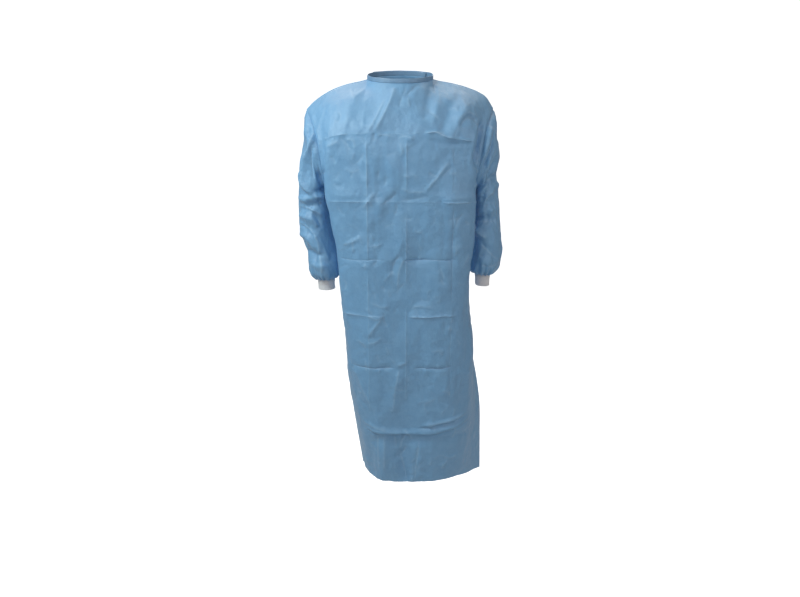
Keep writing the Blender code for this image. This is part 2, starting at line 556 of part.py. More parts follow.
def wall(name, grid, thickness, closed=False):
    """A closed solid: the grid moved out and in by half the thickness, and its borders joined."""
    rows, columns = grid.shape[:2]
    shift = normals(grid, closed) * thickness / 2
    points = np.concatenate([(grid + shift).reshape(-1, 3), (grid - shift).reshape(-1, 3)])
    inner = rows * columns
    span = columns if closed else columns - 1
    faces = []

    def strip(start, end):
        faces.append((start, inner + start, inner + end, end))

    for column in range(span):
        following = (column + 1) % columns
        for row in range(rows - 1):
            low, high = row * columns, (row + 1) * columns
            quad = (low + column, low + following, high + following, high + column)
            faces.append(quad)
            faces.append(tuple(inner + index for index in reversed(quad)))
        strip(column, following)
        strip(inner - columns + following, inner - columns + column)
    if not closed:
        for row in range(rows - 1):
            strip((row + 1) * columns, row * columns)
            strip((row + 1) * columns - 1, (row + 2) * columns - 1)
    return add_piece(name, points, faces)


def back_surface(across, heights):
    """Points and normals of the wrapped back, at pairs of a share across and a height."""
    reach = np.array([-SURFACE_STEP, 0.0, SURFACE_STEP])
    grids = [face_points("back", height + reach, share + reach) for share, height in zip(across, heights)]
    points = np.array([grid[1, 1] for grid in grids])
    return points, np.array([normals(grid)[1, 1] for grid in grids])


def tie(name, columns):
    """A tape along its route over the back: a closed sweep of rounded flat sections."""
    along = np.linspace(0.0, 1.0, TIE_STATIONS)
    across, height, outside, width, thickness = read(
        columns, "across height outside width thickness", along)
    foot, normal = back_surface(across, height)
    path = foot + normal * outside[:, None]
    forward = np.gradient(path, axis=0)
    forward /= np.linalg.norm(forward, axis=-1, keepdims=True)
    sideways = np.cross(normal, forward)
    sideways /= np.linalg.norm(sideways, axis=-1, keepdims=True)
    upward = np.cross(forward, sideways)
    angles = np.arange(TIE_SIDES) * 2 * math.pi / TIE_SIDES
    flat = np.sign(np.cos(angles)) * np.abs(np.cos(angles)) ** TIE_FLATNESS
    points = (path[:, None] + (flat[None] * width[:, None] / 2)[..., None] * sideways[:, None]
              + (np.sin(angles)[None] * thickness[:, None] / 2)[..., None] * upward[:, None])
    faces = [tuple(reversed(range(TIE_SIDES)))]
    for base in range(0, (TIE_STATIONS - 1) * TIE_SIDES, TIE_SIDES):
        for corner in range(TIE_SIDES):
            following = (corner + 1) % TIE_SIDES
            faces.append((base + corner, base + following,
                          base + TIE_SIDES + following, base + TIE_SIDES + corner))
    faces.append(tuple(range((TIE_STATIONS - 1) * TIE_SIDES, TIE_STATIONS * TIE_SIDES)))
    return add_piece(name, points.reshape(-1, 3), faces)


def add_piece(name, points, faces):
    """An object for one closed body, smooth, all its faces facing out."""
    mesh = bpy.data.meshes.new(name)
    mesh.from_pydata(points.tolist(), [], faces)
    work = bmesh.new()
    work.from_mesh(mesh)
    bmesh.ops.recalc_face_normals(work, faces=work.faces)
    work.to_mesh(mesh)
    work.free()
    mesh.shade_smooth()
    mesh.set_sharp_from_angle(angle=math.radians(50))
    piece = bpy.data.objects.new(name, mesh)
    bpy.context.scene.collection.objects.link(piece)
    return piece


def give_material(piece, colour, roughness):
    material = bpy.data.materials.new(piece.name + "_cloth")
    material.use_nodes = True
    shader = material.node_tree.nodes["Principled BSDF"]
    shader.inputs["Base Color"].default_value = (*colour, 1.0)
    shader.inputs["Roughness"].default_value = roughness
    shader.inputs["Metallic"].default_value = 0.0
    piece.data.materials.append(material)


def cloth_pieces():
    """The middle surface of every sewn piece, its edges cut back from its seams."""
    back_right, back_left = back_halves()
    pieces = {
        "front_panel": panel_grid("front", FRONT_FOLDS),
        "back_panel_right": back_right,
        "back_panel_left": back_left,
    }
    for side in ("right", "left"):
        pieces["sleeve_" + side] = sleeve_grid(side)
        pieces["cuff_" + side] = cuff_grid(side)
    pieces["neck_binding"] = binding_grid(pieces)
    moves = {name: np.zeros_like(grid) for name, grid in pieces.items()}
    for first, second in seams():
        join(pieces, moves, first, second)
    return {name: grid + moves[name] for name, grid in pieces.items()}


def main():
    for item in list(bpy.data.objects):
        bpy.data.objects.remove(item, do_unlink=True)
    for name, grid in cloth_pieces().items():
        closed = name.startswith(("sleeve", "cuff"))
        piece = wall(name, grid, THICKNESS.get(name, WALL), closed)
        give_material(piece, *FINISH.get(name, (BLUE, 0.70)))
    for name, columns in (("waist_tie_right", TIE_RIGHT), ("waist_tie_left", TIE_LEFT)):
        give_material(tie(name, columns), BLUE, 0.70)


main()
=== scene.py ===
"""A light blue surgical gown in its worn shape, hollow, with its folds, seams, knitted cuffs and waist ties.

Metres, +Z up. The wearer faces -Y, and right and left are the wearer's: right is -X. The origin is the centre
of the neck opening. A point of the front or back is found by a height on the panel and a share across it:
-1 at the right edge, 0 at the centre and 1 at the left edge. Every panel is a thin shell on the form of its
solid, with creases laid on it in the tables below.
"""

import logging
import math
from dataclasses import dataclass
from enum import Enum

import bpy
import numpy as np
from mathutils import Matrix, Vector, noise


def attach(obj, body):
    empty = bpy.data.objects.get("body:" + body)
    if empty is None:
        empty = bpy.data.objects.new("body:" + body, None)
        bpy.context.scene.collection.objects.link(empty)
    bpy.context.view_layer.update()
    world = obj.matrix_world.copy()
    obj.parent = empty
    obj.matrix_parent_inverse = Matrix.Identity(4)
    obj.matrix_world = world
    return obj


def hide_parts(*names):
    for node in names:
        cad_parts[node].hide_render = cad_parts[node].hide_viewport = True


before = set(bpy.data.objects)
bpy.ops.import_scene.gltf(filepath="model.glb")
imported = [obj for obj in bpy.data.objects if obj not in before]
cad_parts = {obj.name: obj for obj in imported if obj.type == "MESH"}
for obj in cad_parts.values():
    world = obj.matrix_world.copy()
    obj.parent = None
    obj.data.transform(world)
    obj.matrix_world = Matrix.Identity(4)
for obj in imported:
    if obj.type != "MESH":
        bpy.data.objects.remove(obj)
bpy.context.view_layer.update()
LOG = logging.getLogger("gown")

Array = np.ndarray
Columns = dict[str, Array]
Pair = tuple[float, float]
Triple = tuple[float, float, float]
Material = bpy.types.Material
Piece = bpy.types.Object
Socket = bpy.types.NodeSocket
Number = float | Socket

CREASE_COLUMNS = "from_x from_z by_x by_z to_x to_z width from_rise by_rise to_rise"


class Side(Enum):
    """A side of the wearer."""

    RIGHT = "right"
    LEFT = "left"

    @property
    def sign(self) -> float:
        """The sign of X on this side."""
        return -1.0 if self is Side.RIGHT else 1.0


class Face(Enum):
    """Which of the two faces of the gown a panel belongs to."""

    FRONT = "front"
    BACK = "back"


class Crest(Enum):
    """The cross-section of a crease."""

    ROUND = "round"
    SHARP = "sharp"
    STEP = "step"


def table(names: str, rows: str, plain: str = "") -> Columns:
    """Read rows of numbers, in millimetres where they are sizes, into columns in metres.

    Args:
        names: The names of the columns.
        rows: A line of numbers for each row; lines that start with # are notes.
        plain: The columns that hold shares or angles and stay as they are.

    Returns:
        A dictionary with an array for each name.
    """
    lines = [line.split() for line in rows.splitlines() if line.strip() and "#" not in line]
    columns = zip(names.split(), np.array(lines, dtype=float).T)
    return {name: column if name in plain.split() else column / 1000.0 for name, column in columns}


def creases(rows: str) -> Columns:
    """A table of creases: three places in X and Z, the width, and the rise at each place."""
    return table(CREASE_COLUMNS, rows)


# The seam between body and sleeve: a row for each station, as half widths of the right and the left side.
# The turn is the angle at which the station lies in a round sleeve section, from the underarm up.
ARMHOLE_FRONT = table("height right left y z turn", """
    -297 186 190 4 -297 0
    -256 198.5 202.5 -46 -282 32
    -208 211 213.5 -78 -242 68
    -165 219 221 -83 -188 94
    -110 229 230 -67 -141 122
    -55 245 245 -34 -102 152
    0 259 258.5 2 -76 180
""", plain="turn")
ARMHOLE_BACK = table("height right left y z turn", """
    -297 186 190 4 -297 0
    -256 192 196 47 -282 32
    -208 199 202 76 -242 68
    -165 207 209 82 -188 94
    -110 220 221 70 -141 122
    -55 241 241 38 -101 152
    0 259 258.5 2 -76 180
""", plain="turn")
# The side seams below the sleeves, from the hem to the underarm.
SIDE_SEAM = table("height right left y right_z left_z", """
    -1160 120 258.5 4 -1167 -1190
    -1060 135 255 4 -1060 -1068
    -959 149 250.5 4 -959 -959
    -870 159 237.5 4 -870 -870
    -799 163 223.5 4 -799 -799
    -700 165 214 6 -700 -700
    -589 165 191 8 -589 -589
    -520 156 178 6 -520 -520
    -443 158 176 4 -443 -443
    -370 168 180 4 -370 -370
    -297 186 190 4 -297 -297
""")

# Sections of the front and of the back: the centre of each, and the corner where it turns to the side.
SECTIONS = {
    Face.FRONT: table("height centre_x centre_y centre_z right left corner_y right_z left_z", """
    -1160 20 -137 -1158 97 187 -87 -1156 -1166
    -1060 22 -137 -1060 111 193 -91 -1060 -1063
    -959 23 -137 -959 128 200 -93 -959 -959
    -870 23 -137 -870 140 202 -94 -870 -870
    -799 23 -138 -799 149 203 -93 -799 -799
    -700 20 -139 -700 158 202 -90 -700 -700
    -589 18 -138 -589 168 196 -84 -589 -589
    -520 17 -138 -520 173 198 -82 -520 -520
    -443 16 -138 -443 180 205.5 -82 -443 -443
    -370 14 -138 -370 191 209 -84 -370 -370
    -297 10 -139 -297 201.5 207 -89 -300 -300
    -256 7 -139 -251 200 205 -100 -254 -254
    -208 4 -138 -204 194 197 -110 -208 -208
    -165 2 -134 -158 187 189 -112 -165 -165
    -110 1 -124 -107 182 184 -102 -114 -114
    -55 0 -104 -56 178 180 -68 -59 -59
    0 0 -78 -11.5 179 179 4 -21.5 -21.5
    """),
    Face.BACK: table("height centre_x centre_y centre_z right left corner_y right_z left_z", """
    -1160 52 136 -1160 82 207 100 -1160 -1177
    -1060 45 133 -1060 98 208 100 -1060 -1065
    -959 36 130 -959 116 205 99 -959 -959
    -870 28 126 -870 124 194 96 -870 -870
    -799 22 123 -799 130 180 94 -799 -799
    -700 16 117 -700 134 166 90 -700 -700
    -589 10 104 -589 132 152 80 -589 -589
    -520 8 102 -520 128 146 78 -520 -520
    -443 6 108 -443 132 146 84 -443 -443
    -370 4 115 -370 142 150 92 -370 -370
    -297 2 121 -297 156 160 98 -298 -298
    -256 1 122 -251 161 164 101 -254 -254
    -208 0 123 -203 168 170 105 -208 -208
    -165 0 120 -153 172 173 103 -162 -162
    -110 0 112 -96 174 175 90 -108 -108
    -55 0 93 -36 176 176 57 -56 -56
    0 0 68 16 179 179 4 -21.5 -21.5
    """),
}

# The height of the shoulder line, by the share of the way from the neck to the sleeve.
SHOULDER = table("share right left", """
    0 3 3
    0.12 -2 -1.2
    0.33 -9.5 -7.5
    0.6 -26 -20
    0.76 -41.5 -31
    0.89 -57.5 -46
    1 -76 -74
""", plain="share")

# Sleeve sections below the armhole: the inner and outer ends of each and its depth.
SLEEVE_SECTIONS = {
    Side.RIGHT: table("inner_x inner_z outer_x outer_z middle_y half_depth", """
    204 -302 265 -118 0 81
    206 -313 268.5 -165 0 78
    203 -330 280 -222 1 73.5
    196 -352 284.5 -290 1 67
    191 -383 289 -348 -1 65
    187 -420 288 -398 -4 64
    182 -451 278 -438 -8 62
    177 -486 264 -480 -12 60
    175 -514 264 -514 -16 58
    178 -536 259 -537 -18 51
    186 -548 248.5 -549 -19 39
    193.5 -552 239.5 -553 -20 27
    """),
    Side.LEFT: table("inner_x inner_z outer_x outer_z middle_y half_depth", """
    210 -302 266.5 -112 0 81
    211 -313 272 -154 0 78
    207 -329 279.5 -202 1 73.5
    204 -347 272.5 -252 1 66.5
    204 -368 279 -297 0 65.5
    203 -397 285.5 -357 -2 65
    202 -434 291 -420 -4 64
    200 -474 293.5 -474 -7 62
    200 -503 292 -506 -9 58.5
    204 -524 284.5 -528 -10 51
    212 -535 274 -538 -10 39
    222 -538 264 -540 -10 26
    """),
}
CUFF_SECTIONS = {
    Side.RIGHT: table("inner_x inner_z outer_x outer_z middle_y half_depth", """
    193.5 -552 239.5 -553 -20 27
    193 -567 239.5 -568 -21 26.8
    191.5 -582 239 -583 -22 27
    """),
    Side.LEFT: table("inner_x inner_z outer_x outer_z middle_y half_depth", """
    222 -538 264 -540 -10 26
    222.5 -555 263.5 -556 -11 25.5
    223 -573 263.5 -574 -12 26
    """),
}

# The route of each tie from the side seam to the knot and down its free end: across the back, the height,
# how far outside the cloth, and the width and thickness of the tape there.
TIE_ROUTES = {
    Side.RIGHT: table("along across height outside width thickness", """
    0 -0.955 -555 3 24 1.6
    0.15 -0.8 -549 3.2 24 1.6
    0.32 -0.5 -540 3.6 22 1.8
    0.42 -0.28 -540 7.8 18 2.6
    0.5 -0.08 -545 13 9 4.5
    0.55 0.01 -548 16.5 8 4.5
    0.6 0.046 -563 16.5 8 4.5
    0.7 0.09 -598 10 14 2.4
    0.86 0.13 -655 8.5 19 1.6
    1 0.14 -735 8.5 21 1.6
    """, plain="along across"),
    Side.LEFT: table("along across height outside width thickness", """
    0 0.955 -555 3 24 1.6
    0.15 0.8 -552 3.2 24 1.6
    0.32 0.5 -550 4.6 22 1.8
    0.42 0.28 -552 7.2 18 2.4
    0.5 0.11 -556 8.8 9 4.5
    0.55 -0.002 -562 9.2 8 4.5
    0.6 -0.06 -575 8.8 8 4
    0.7 -0.1 -606 8.6 15 2.2
    0.86 -0.12 -680 8.5 19 1.6
    1 -0.112 -765 8.5 21 1.6
    """, plain="along across"),
}

# Creases of the front, placed by X and Z. Each line starts at one point, passes by a second and ends at a
# third, and has a rise at each: a ridge where it is positive, a trough where it is negative.
FRONT_CREASES = {
    Crest.ROUND: creases("""
    # The furrow and ridge beside the left armhole.
    221 -104 214 -155 200 -226 8 -6 -15 -10
    206 -104 199 -150 186 -210 7 1.4 3 1.6
    # The largest folds, as in the solids.
    -95 -983 -40 -990 15 -993 9 4.5 6 6
    15 -993 105 -985 200 -965 9 6 6.5 5
    -110 -1020 45 -1018 200 -1010 16 -3 -4 -4
    -50 -1010 -53 -1080 -52 -1160 16 4 5.5 5
    6 -1040 12 -1100 22 -1160 18 -5 -6 -6
    52 -1020 50 -1090 44 -1160 16 4 5 5
    -6 -790 -10 -860 -18 -930 18 4 5 3
    172 -810 176 -870 184 -930 22 -4 -5 -3
    -127 -790 -107 -850 -88 -905 18 4 4 2
    -19 -470 -21 -530 -19 -590 20 -3 -4 -3
    -42 -610 -66 -655 -85 -700 20 4 4 2
    -51 -300 -68 -350 -87 -400 20 5 5 3
    -18 -20 -34 -80 -75 -140 18 2 3.5 3
    110 -312 150 -314 190 -312 14 2 3 3
    # Soft hollows of the yoke between neck and shoulder.
    77 -24 74 -64 60 -108 10 -3 -5 -2.4
    104 -34 97 -74 82 -122 8 2 3.8 2
    158 -36 132 -82 104 -146 11 -3.4 -6 -3.6
    186 -60 160 -100 136 -152 9 2 4.4 3
    -94 -20 -120 -58 -140 -108 19 1 2.2 1.4
    -168 -46 -164 -90 -166 -150 15 -1.8 -2.6 -1
    -116 -108 -146 -150 -150 -196 14 -1.2 -2.2 -1.2
    # The long hanging waves below the chest.
    -12 -160 -14 -235 -28 -300 15 1.4 2.6 2.4
    -44 -170 -48 -230 -60 -285 14 -1.2 -2 -1.6
    58 -330 52 -420 50 -500 22 -1 -2.4 -1.2
    -6 -330 0 -400 -6 -462 13 1.4 2.6 1.8
    100 -480 98 -560 104 -640 24 1 2.2 1
    -128 -480 -118 -560 -120 -640 22 -1 -2.4 -1
    20 -640 10 -710 4 -780 16 1.8 3 2.6
    60 -650 66 -715 62 -785 20 -1.2 -2.6 -1.2
    190 -560 192 -680 190 -800 9 -2 -4.6 -4
    206 -660 208 -760 206 -900 12 1.6 3.4 2
    56 -800 70 -860 110 -930 22 -1 -2.6 -1.8
    -48 -815 -50 -880 -60 -940 15 -1.6 -3 -2
    120 -1010 118 -1080 122 -1158 24 -1 -2.6 -2.6
    180 -1000 184 -1080 190 -1158 20 1.4 3 3
    -92 -1020 -88 -1080 -90 -1158 12 -2 -3 -3
    """),
    Crest.SHARP: creases("""
    # Thin ridges that run down from the neck.
    -16 -16 -27 -62 -70 -138 5.3 1.8 5.4 3.2
    -40 -50 -62 -96 -82 -132 4.8 1.5 4 2.5
    50 -8 40 -20 14 -44 4.4 -2.9 -5.4 -1.5
    20 -16 4 -50 -2 -72 4.4 -1.1 -2.1 -0.8
    # The arched pucker in front of the left armhole.
    152 -126 180 -97 204 -110 5.3 -2.9 -6 -4.8
    144 -118 176 -88 206 -100 6.2 1.8 4 2.5
    # Diagonals and short nicks of the chest and waist.
    128 -210 102 -246 66 -288 5.3 2.1 4.8 2.9
    130 -239 140 -240 150 -239 3.5 1.1 2.5 1.1
    66 -286 30 -288 2 -276 4.4 2.1 2.9 1.5
    78 -300 40 -306 0 -312 4.4 -1.8 -2.5 -1.8
    -66 -292 -84 -310 -101 -333 4.4 1.8 4 1.8
    -10 -288 -24 -306 -52 -322 4 -1.8 -2.9 -1.5
    -106 -408 -130 -424 -160 -436 4.2 1.5 3.6 2.1
    -94 -186 -104 -200 -118 -216 4.4 -1.1 -2.5 -1.1
    -160 -148 -142 -162 -132 -182 5.3 -1.5 -2.9 -1.5
    -150 -226 -128 -236 -112 -230 4.8 1.1 2.5 1.1
    4 -462 -16 -480 -22 -520 5.3 -2.1 -4.8 -2.5
    16 -470 -2 -500 -6 -560 6.2 1.8 3.2 1.8
    # The knot of creases above the middle of the skirt.
    -92 -628 -66 -640 -40 -626 4.2 2.1 3.6 2.1
    -44 -622 -46 -640 -34 -664 4.4 -2.5 -4.8 -2.1
    -50 -640 -70 -664 -88 -694 4.4 2.1 4.4 2.5
    -28 -600 -52 -606 -84 -590 4.4 1.5 2.5 1.5
    30 -612 56 -604 96 -610 4 1.5 2.5 1.5
    -10 -780 4 -776 20 -768 4.4 1.8 4.8 2.5
    -2 -790 -14 -850 -20 -926 5.3 2.1 3.2 2.1
    -130 -800 -112 -844 -86 -906 4.8 1.8 3.6 2.1
    # The doubled fold across the lower skirt and the short creases that leave it.
    -110 -966 -70 -974 -40 -984 4.4 2.9 4.8 2.9
    96 -138 118 -146 140 -148 4 1.4 3 1.6
    -66 -146 -44 -141 -22 -146 4 1.4 2.8 1.4
    -6 -150 14 -145 34 -152 4 1.4 2.8 1.4
    70 -968 130 -960 190 -945 4.8 2.1 5.4 3.2
    60 -976 120 -972 180 -960 4.4 -1.8 -3.6 -1.8
    10 -984 24 -998 34 -1018 4.4 2.1 4 1.8
    -24 -996 -14 -1016 -12 -1048 4.4 -2.1 -4.4 -2.1
    -66 -996 -66 -1050 -64 -1126 4.2 -1.8 -3.6 -1.8
    -48 -996 -46 -1050 -46 -1124 4.4 1.8 4 2.1
    0 -1050 10 -1100 22 -1158 4.8 -2.1 -4.4 -4
    58 -1016 50 -1080 44 -1156 4.4 -1.8 -3.6 -2.9
    20 -1000 6 -1020 2 -1046 4 1.8 3.2 1.5
    """),
    Crest.STEP: creases("""
    40 -150 20 -146 -6 -156 6 0.6 1.4 0.6
    -10 -146 -30 -142 -50 -150 6 0.6 1.2 0.6
    -206 -118 -202 -190 -199 -275 9 1 2 1.2
    208 -130 206 -200 206 -270 9 -0.6 -1.6 -0.8
    66 -147 122 -158 184 -160 5 0.6 1.2 0.6
    112 -312 160 -311 206 -313 5 1.2 2 1.4
    -104 -984 -30 -997 40 -999 4 2.4 3.8 3.4
    40 -999 120 -995 200 -972 4 3.4 4 2.6
    44 -974 120 -968 196 -948 4 1.4 2.6 1.6
    """),
}
BACK_CREASES = {
    Crest.ROUND: creases("""
    # The largest folds, as in the solids.
    -65 -490 -76 -440 -85 -380 20 5 5.5 3
    72 -495 84 -440 95 -390 20 5 5 3
    -80 -660 -86 -730 -90 -800 22 -4 -5.5 -4
    100 -660 112 -740 125 -820 22 -4 -5.5 -4
    -60 -900 -62 -1030 -56 -1160 24 4 6 6
    115 -880 124 -1020 140 -1160 26 4 6.5 6.5
    -110 -130 -92 -200 -70 -270 24 3 4 2
    120 -120 104 -200 85 -280 24 3 4 2
    # Folds gathered up by the ties, above and below them.
    -110 -545 -118 -480 -124 -400 13 3 2.6 0.8
    -30 -540 -34 -460 -46 -370 14 -3 -3 -0.8
    46 -545 50 -470 60 -360 14 -3.4 -3 -0.8
    112 -550 120 -490 128 -410 13 3 2.4 0.8
    16 -580 12 -650 18 -740 16 -3.4 -3 -0.8
    -52 -570 -58 -640 -66 -730 14 3.6 3 1
    64 -575 72 -650 76 -750 15 3.6 3 1
    -116 -575 -122 -650 -126 -740 15 -3 -2.6 -0.8
    134 -570 146 -640 150 -760 15 -2.6 -2.6 -0.8
    20 -860 30 -990 36 -1158 26 -1.6 -4.4 -4.4
    180 -860 196 -1000 205 -1158 22 -1.6 -3.6 -4
    -10 -140 -16 -210 -20 -300 24 -1 -2.6 -1
    -160 -120 -150 -190 -132 -260 16 -1.6 -3 -1
    164 -120 156 -190 138 -266 16 -1.6 -2.8 -1
    """),
    Crest.SHARP: creases("""
    -60 -30 -80 -60 -120 -104 5.3 1.5 4 1.8
    70 -30 96 -64 130 -110 5.3 1.5 4.4 1.8
    -180 -190 -150 -214 -106 -226 5.3 -1.8 -4 -1.5
    178 -196 150 -222 112 -240 5.3 -1.8 -4 -1.5
    -140 -528 -132 -496 -136 -452 4.4 3.6 3.2 1.1
    -90 -524 -94 -490 -88 -436 4.4 -3.6 -3.6 -1.1
    86 -534 90 -500 84 -450 4.4 3.6 3.2 1.1
    126 -536 120 -500 126 -456 4.4 -3.6 -3.6 -1.1
    -86 -562 -90 -600 -82 -650 4.4 3.6 3.2 1.1
    -34 -586 -36 -620 -30 -664 4.4 -3.6 -3.2 -1.1
    90 -572 96 -610 90 -664 4.4 -3.6 -3.2 -1.1
    112 -574 116 -620 118 -676 4.4 3.2 2.9 1.1
    100 -988 140 -978 196 -984 5.3 1.8 4.8 2.1
    -100 -976 -50 -990 10 -982 5.3 1.8 4.8 1.8
    -86 -1020 -84 -1080 -80 -1150 4.4 1.5 3.6 2.5
    72 -1010 80 -1080 90 -1150 4.4 -1.5 -3.6 -2.5
    """),
}
# Creases of the sleeves, placed by X and Z on the front half or on the back half, X as its size.
SLEEVE_CREASES = {
    (Side.RIGHT, Face.FRONT): {
        Crest.ROUND: creases("""
    238 -112 252 -150 272 -226 9 -5.8 -9 -5.8
    226 -140 250 -186 264 -250 7 4.3 8 5.8
    264 -236 264 -272 238 -304 7 5.8 7.2 4.9
    212 -150 214 -210 218 -270 8 -5.8 -8.7 -5.8
    206 -284 220 -292 240 -290 7 -7.2 -7.8 -3.5
    286 -318 252 -316 214 -302 8 6.7 6.7 2.9
    280 -350 246 -334 212 -318 9 -4.3 -6.7 -4.3
    288 -366 250 -372 224 -398 8 6.7 7.2 3.5
    206 -344 198 -400 192 -500 12 -5.8 -8.7 -5.8
    282 -392 258 -398 236 -424 8 -5.2 -7.2 -4.3
    284 -420 258 -428 234 -464 8 5.8 7.2 3.5
    268 -462 240 -474 216 -470 8 -4.3 -5.8 -2.9
    254 -496 230 -506 206 -500 8 4.3 5.2 2.9
        """),
        Crest.SHARP: creases("""
    222 -116 240 -158 262 -226 4.6 2.3 5.3 3.4
    262 -224 268 -262 246 -298 4.6 3 4.6 2.8
    236 -166 242 -216 234 -262 5 -1.8 -4.6 -2.3
    204 -292 214 -306 240 -308 4.6 4.1 5.3 2.3
    280 -338 244 -346 216 -364 4.6 3.4 5.8 3
    256 -344 232 -368 220 -402 4.6 -2.8 -5.3 -2.3
    284 -386 254 -400 230 -432 4.8 3.4 5.8 2.8
    250 -404 232 -436 230 -478 4.6 2.8 5.1 2.3
    262 -446 246 -474 244 -512 4.6 -2.8 -4.6 -2.3
    232 -470 222 -500 226 -528 4.6 2.3 4.1 2.3
        """),
    },
    (Side.LEFT, Face.FRONT): {
        Crest.ROUND: creases("""
    252 -118 236 -160 222 -214 7 4 6.4 4
    240 -112 230 -150 216 -204 8 4.3 7.2 4.3
    256 -126 240 -186 218 -240 8 -4.9 -8.7 -5.8
    268 -150 252 -204 224 -262 9 4.3 7.8 4.9
    262 -206 244 -242 220 -282 7 -3.5 -8.1 -5.8
    270 -252 248 -262 222 -284 7 -6.7 -8.1 -5.8
    280 -276 254 -292 226 -318 9 4.3 6.7 3.5
    210 -300 208 -350 208 -410 10 -4.3 -6.7 -4.3
    212 -372 240 -369 274 -373 7 -4.9 -8.1 -5.8
    216 -352 242 -346 276 -348 9 3.5 6.4 3.8
    212 -400 226 -414 246 -428 8 4.3 6.4 2.9
    212 -430 206 -480 204 -530 9 -7.2 -9 -5.8
    228 -440 252 -464 284 -494 9 -4.3 -7.2 -4.3
    224 -474 242 -498 266 -516 9 3.8 6.1 3.5
        """),
        Crest.SHARP: creases("""
    250 -138 236 -180 218 -226 4.6 2.3 5.3 2.8
    236 -118 224 -160 214 -206 4.6 -2.3 -4.6 -2.3
    262 -176 244 -222 226 -258 4.6 -2.3 -4.6 -2.3
    272 -256 250 -266 226 -274 4.6 -3 -5.8 -3.4
    258 -296 242 -310 232 -334 4.8 2.3 4.1 2.3
    212 -378 240 -380 272 -378 4.4 -2.3 -4.6 -2.8
    214 -403 228 -414 242 -424 4.6 2.8 4.6 2.3
    226 -444 250 -464 282 -492 4.6 2.3 4.6 2.8
    232 -500 256 -508 282 -502 4.6 -2.3 -4.1 -2.3
        """),
    },
    (Side.RIGHT, Face.BACK): {
        Crest.ROUND: creases("""
    250 -120 240 -180 222 -240 12 -2.4 -5.6 -3
    268 -170 256 -240 232 -290 12 2 4.4 2.6
    212 -330 240 -336 272 -322 10 -3 -4.6 -2.6
    206 -366 236 -376 276 -366 11 2.6 4.2 2
    204 -402 232 -420 268 -414 11 -2.6 -4.4 -2
    200 -450 226 -470 256 -462 11 2.2 3.6 1.8
        """),
        Crest.SHARP: creases("""
    258 -150 248 -200 236 -246 4.8 1.8 4 1.8
    214 -348 238 -354 264 -346 4.4 -2.1 -4.4 -1.8
    210 -390 232 -398 260 -388 4.4 2.1 4.4 1.8
    216 -440 224 -470 216 -506 4.4 1.8 3.6 2.1
        """),
    },
    (Side.LEFT, Face.BACK): {
        Crest.ROUND: creases("""
    246 -124 242 -180 226 -244 12 -2.4 -5.2 -3
    264 -160 254 -216 234 -270 11 2 4.6 2.6
    220 -318 246 -322 270 -310 10 -3 -4.4 -2.4
    218 -356 244 -366 278 -350 11 2.6 4 2
    216 -398 246 -408 280 -396 11 -2.6 -4.2 -2
    216 -446 246 -458 280 -452 12 2.2 3.4 1.8
        """),
        Crest.SHARP: creases("""
    256 -150 250 -196 238 -240 4.8 1.8 4 1.8
    222 -336 246 -344 270 -332 4.4 -2.1 -4.4 -1.8
    220 -380 246 -388 272 -376 4.4 2.1 4 1.8
    240 -436 250 -470 244 -506 4.4 1.8 3.6 2.1
        """),
    },
}

# Where the gown was folded flat in its pack: the height of each fold across it, where it runs from and to
# in X, how far it stands out (in, where negative) and how far that reaches above and below the fold.
FOLDS_ACROSS = {
    Face.FRONT: table("height from_x to_x rise reach", """
    -145 -196 -130 2.5 10
    -145 -130 60 1.1 12
    -145 60 196 3.6 10
    -313 -200 -60 1.4 10
    -313 -60 110 0.7 8
    -313 110 204 3.6 9
    -474 -178 -30 -1.4 10
    -474 4 160 -3.4 9
    -634 -166 -40 2 9
    -634 20 160 3.6 9
    -789 -146 -10 -2.5 9
    -789 34 156 -3.4 8
    """),
    Face.BACK: table("height from_x to_x rise reach", """
    -145 -180 180 2.2 10
    -313 -160 -20 -2.5 10
    -313 20 160 -3.1 9
    -474 -130 140 2 10
    -634 -140 150 -2.2 9
    -789 -120 20 3.1 9
    -789 60 180 2.5 9
    -973 -110 210 3.6 9
    """),
}
# Where a fold across sags: the fold's height, the X where the sag starts and where it is full, and its drop.
FOLD_SAGS = {Face.FRONT: ((-0.145, 0.084, 0.124, 0.013),), Face.BACK: ()}
# The folds up and down: the X of each, where it runs from and to in height, its rise and its reach.
FOLDS_UPRIGHT = {
    Face.FRONT: table("x from_height to_height rise reach", """
    -88 -480 -150 2 10
    -88 -940 -500 1.3 9
    17 -310 -150 1.7 8
    17 -560 -330 1.4 8
    17 -900 -600 1.3 8
    144 -300 -170 -0.8 8
    144 -600 -316 -2 8
    144 -900 -640 -1.4 8
    """),
    Face.BACK: table("x from_height to_height rise reach", """
    -76 -500 -130 2 9
    -76 -1100 -620 -1.7 9
    125 -500 -130 -2 9
    125 -1100 -620 1.7 9
    """),
}


def unit(vectors: Array) -> Array:
    """The vectors with a length of one."""
    return vectors / np.maximum(np.linalg.norm(vectors, axis=-1, keepdims=True), 1e-12)


def bell(distance: Array, width: float) -> Array:
    """A bell curve, 1 in the middle."""
    return np.exp(-((distance / width) ** 2))


def lengths(points: Array, axis: int = 0) -> Array:
    """How far each point lies along its column or row, measured over the points from the first."""
    steps = np.linalg.norm(np.diff(points, axis=axis), axis=-1)
    return np.cumsum(np.insert(steps, 0, 0.0, axis=axis), axis=axis)


def hermite(t: Array, start: Array, end: Array, leave: Array, arrive: Array) -> Array:
    """Points of a cubic between two ends, given how it leaves one and arrives at the other."""
    return ((2 * t**3 - 3 * t**2 + 1) * start + (t**3 - 2 * t**2 + t) * leave
            + (3 * t**2 - 2 * t**3) * end + (t**3 - t**2) * arrive)


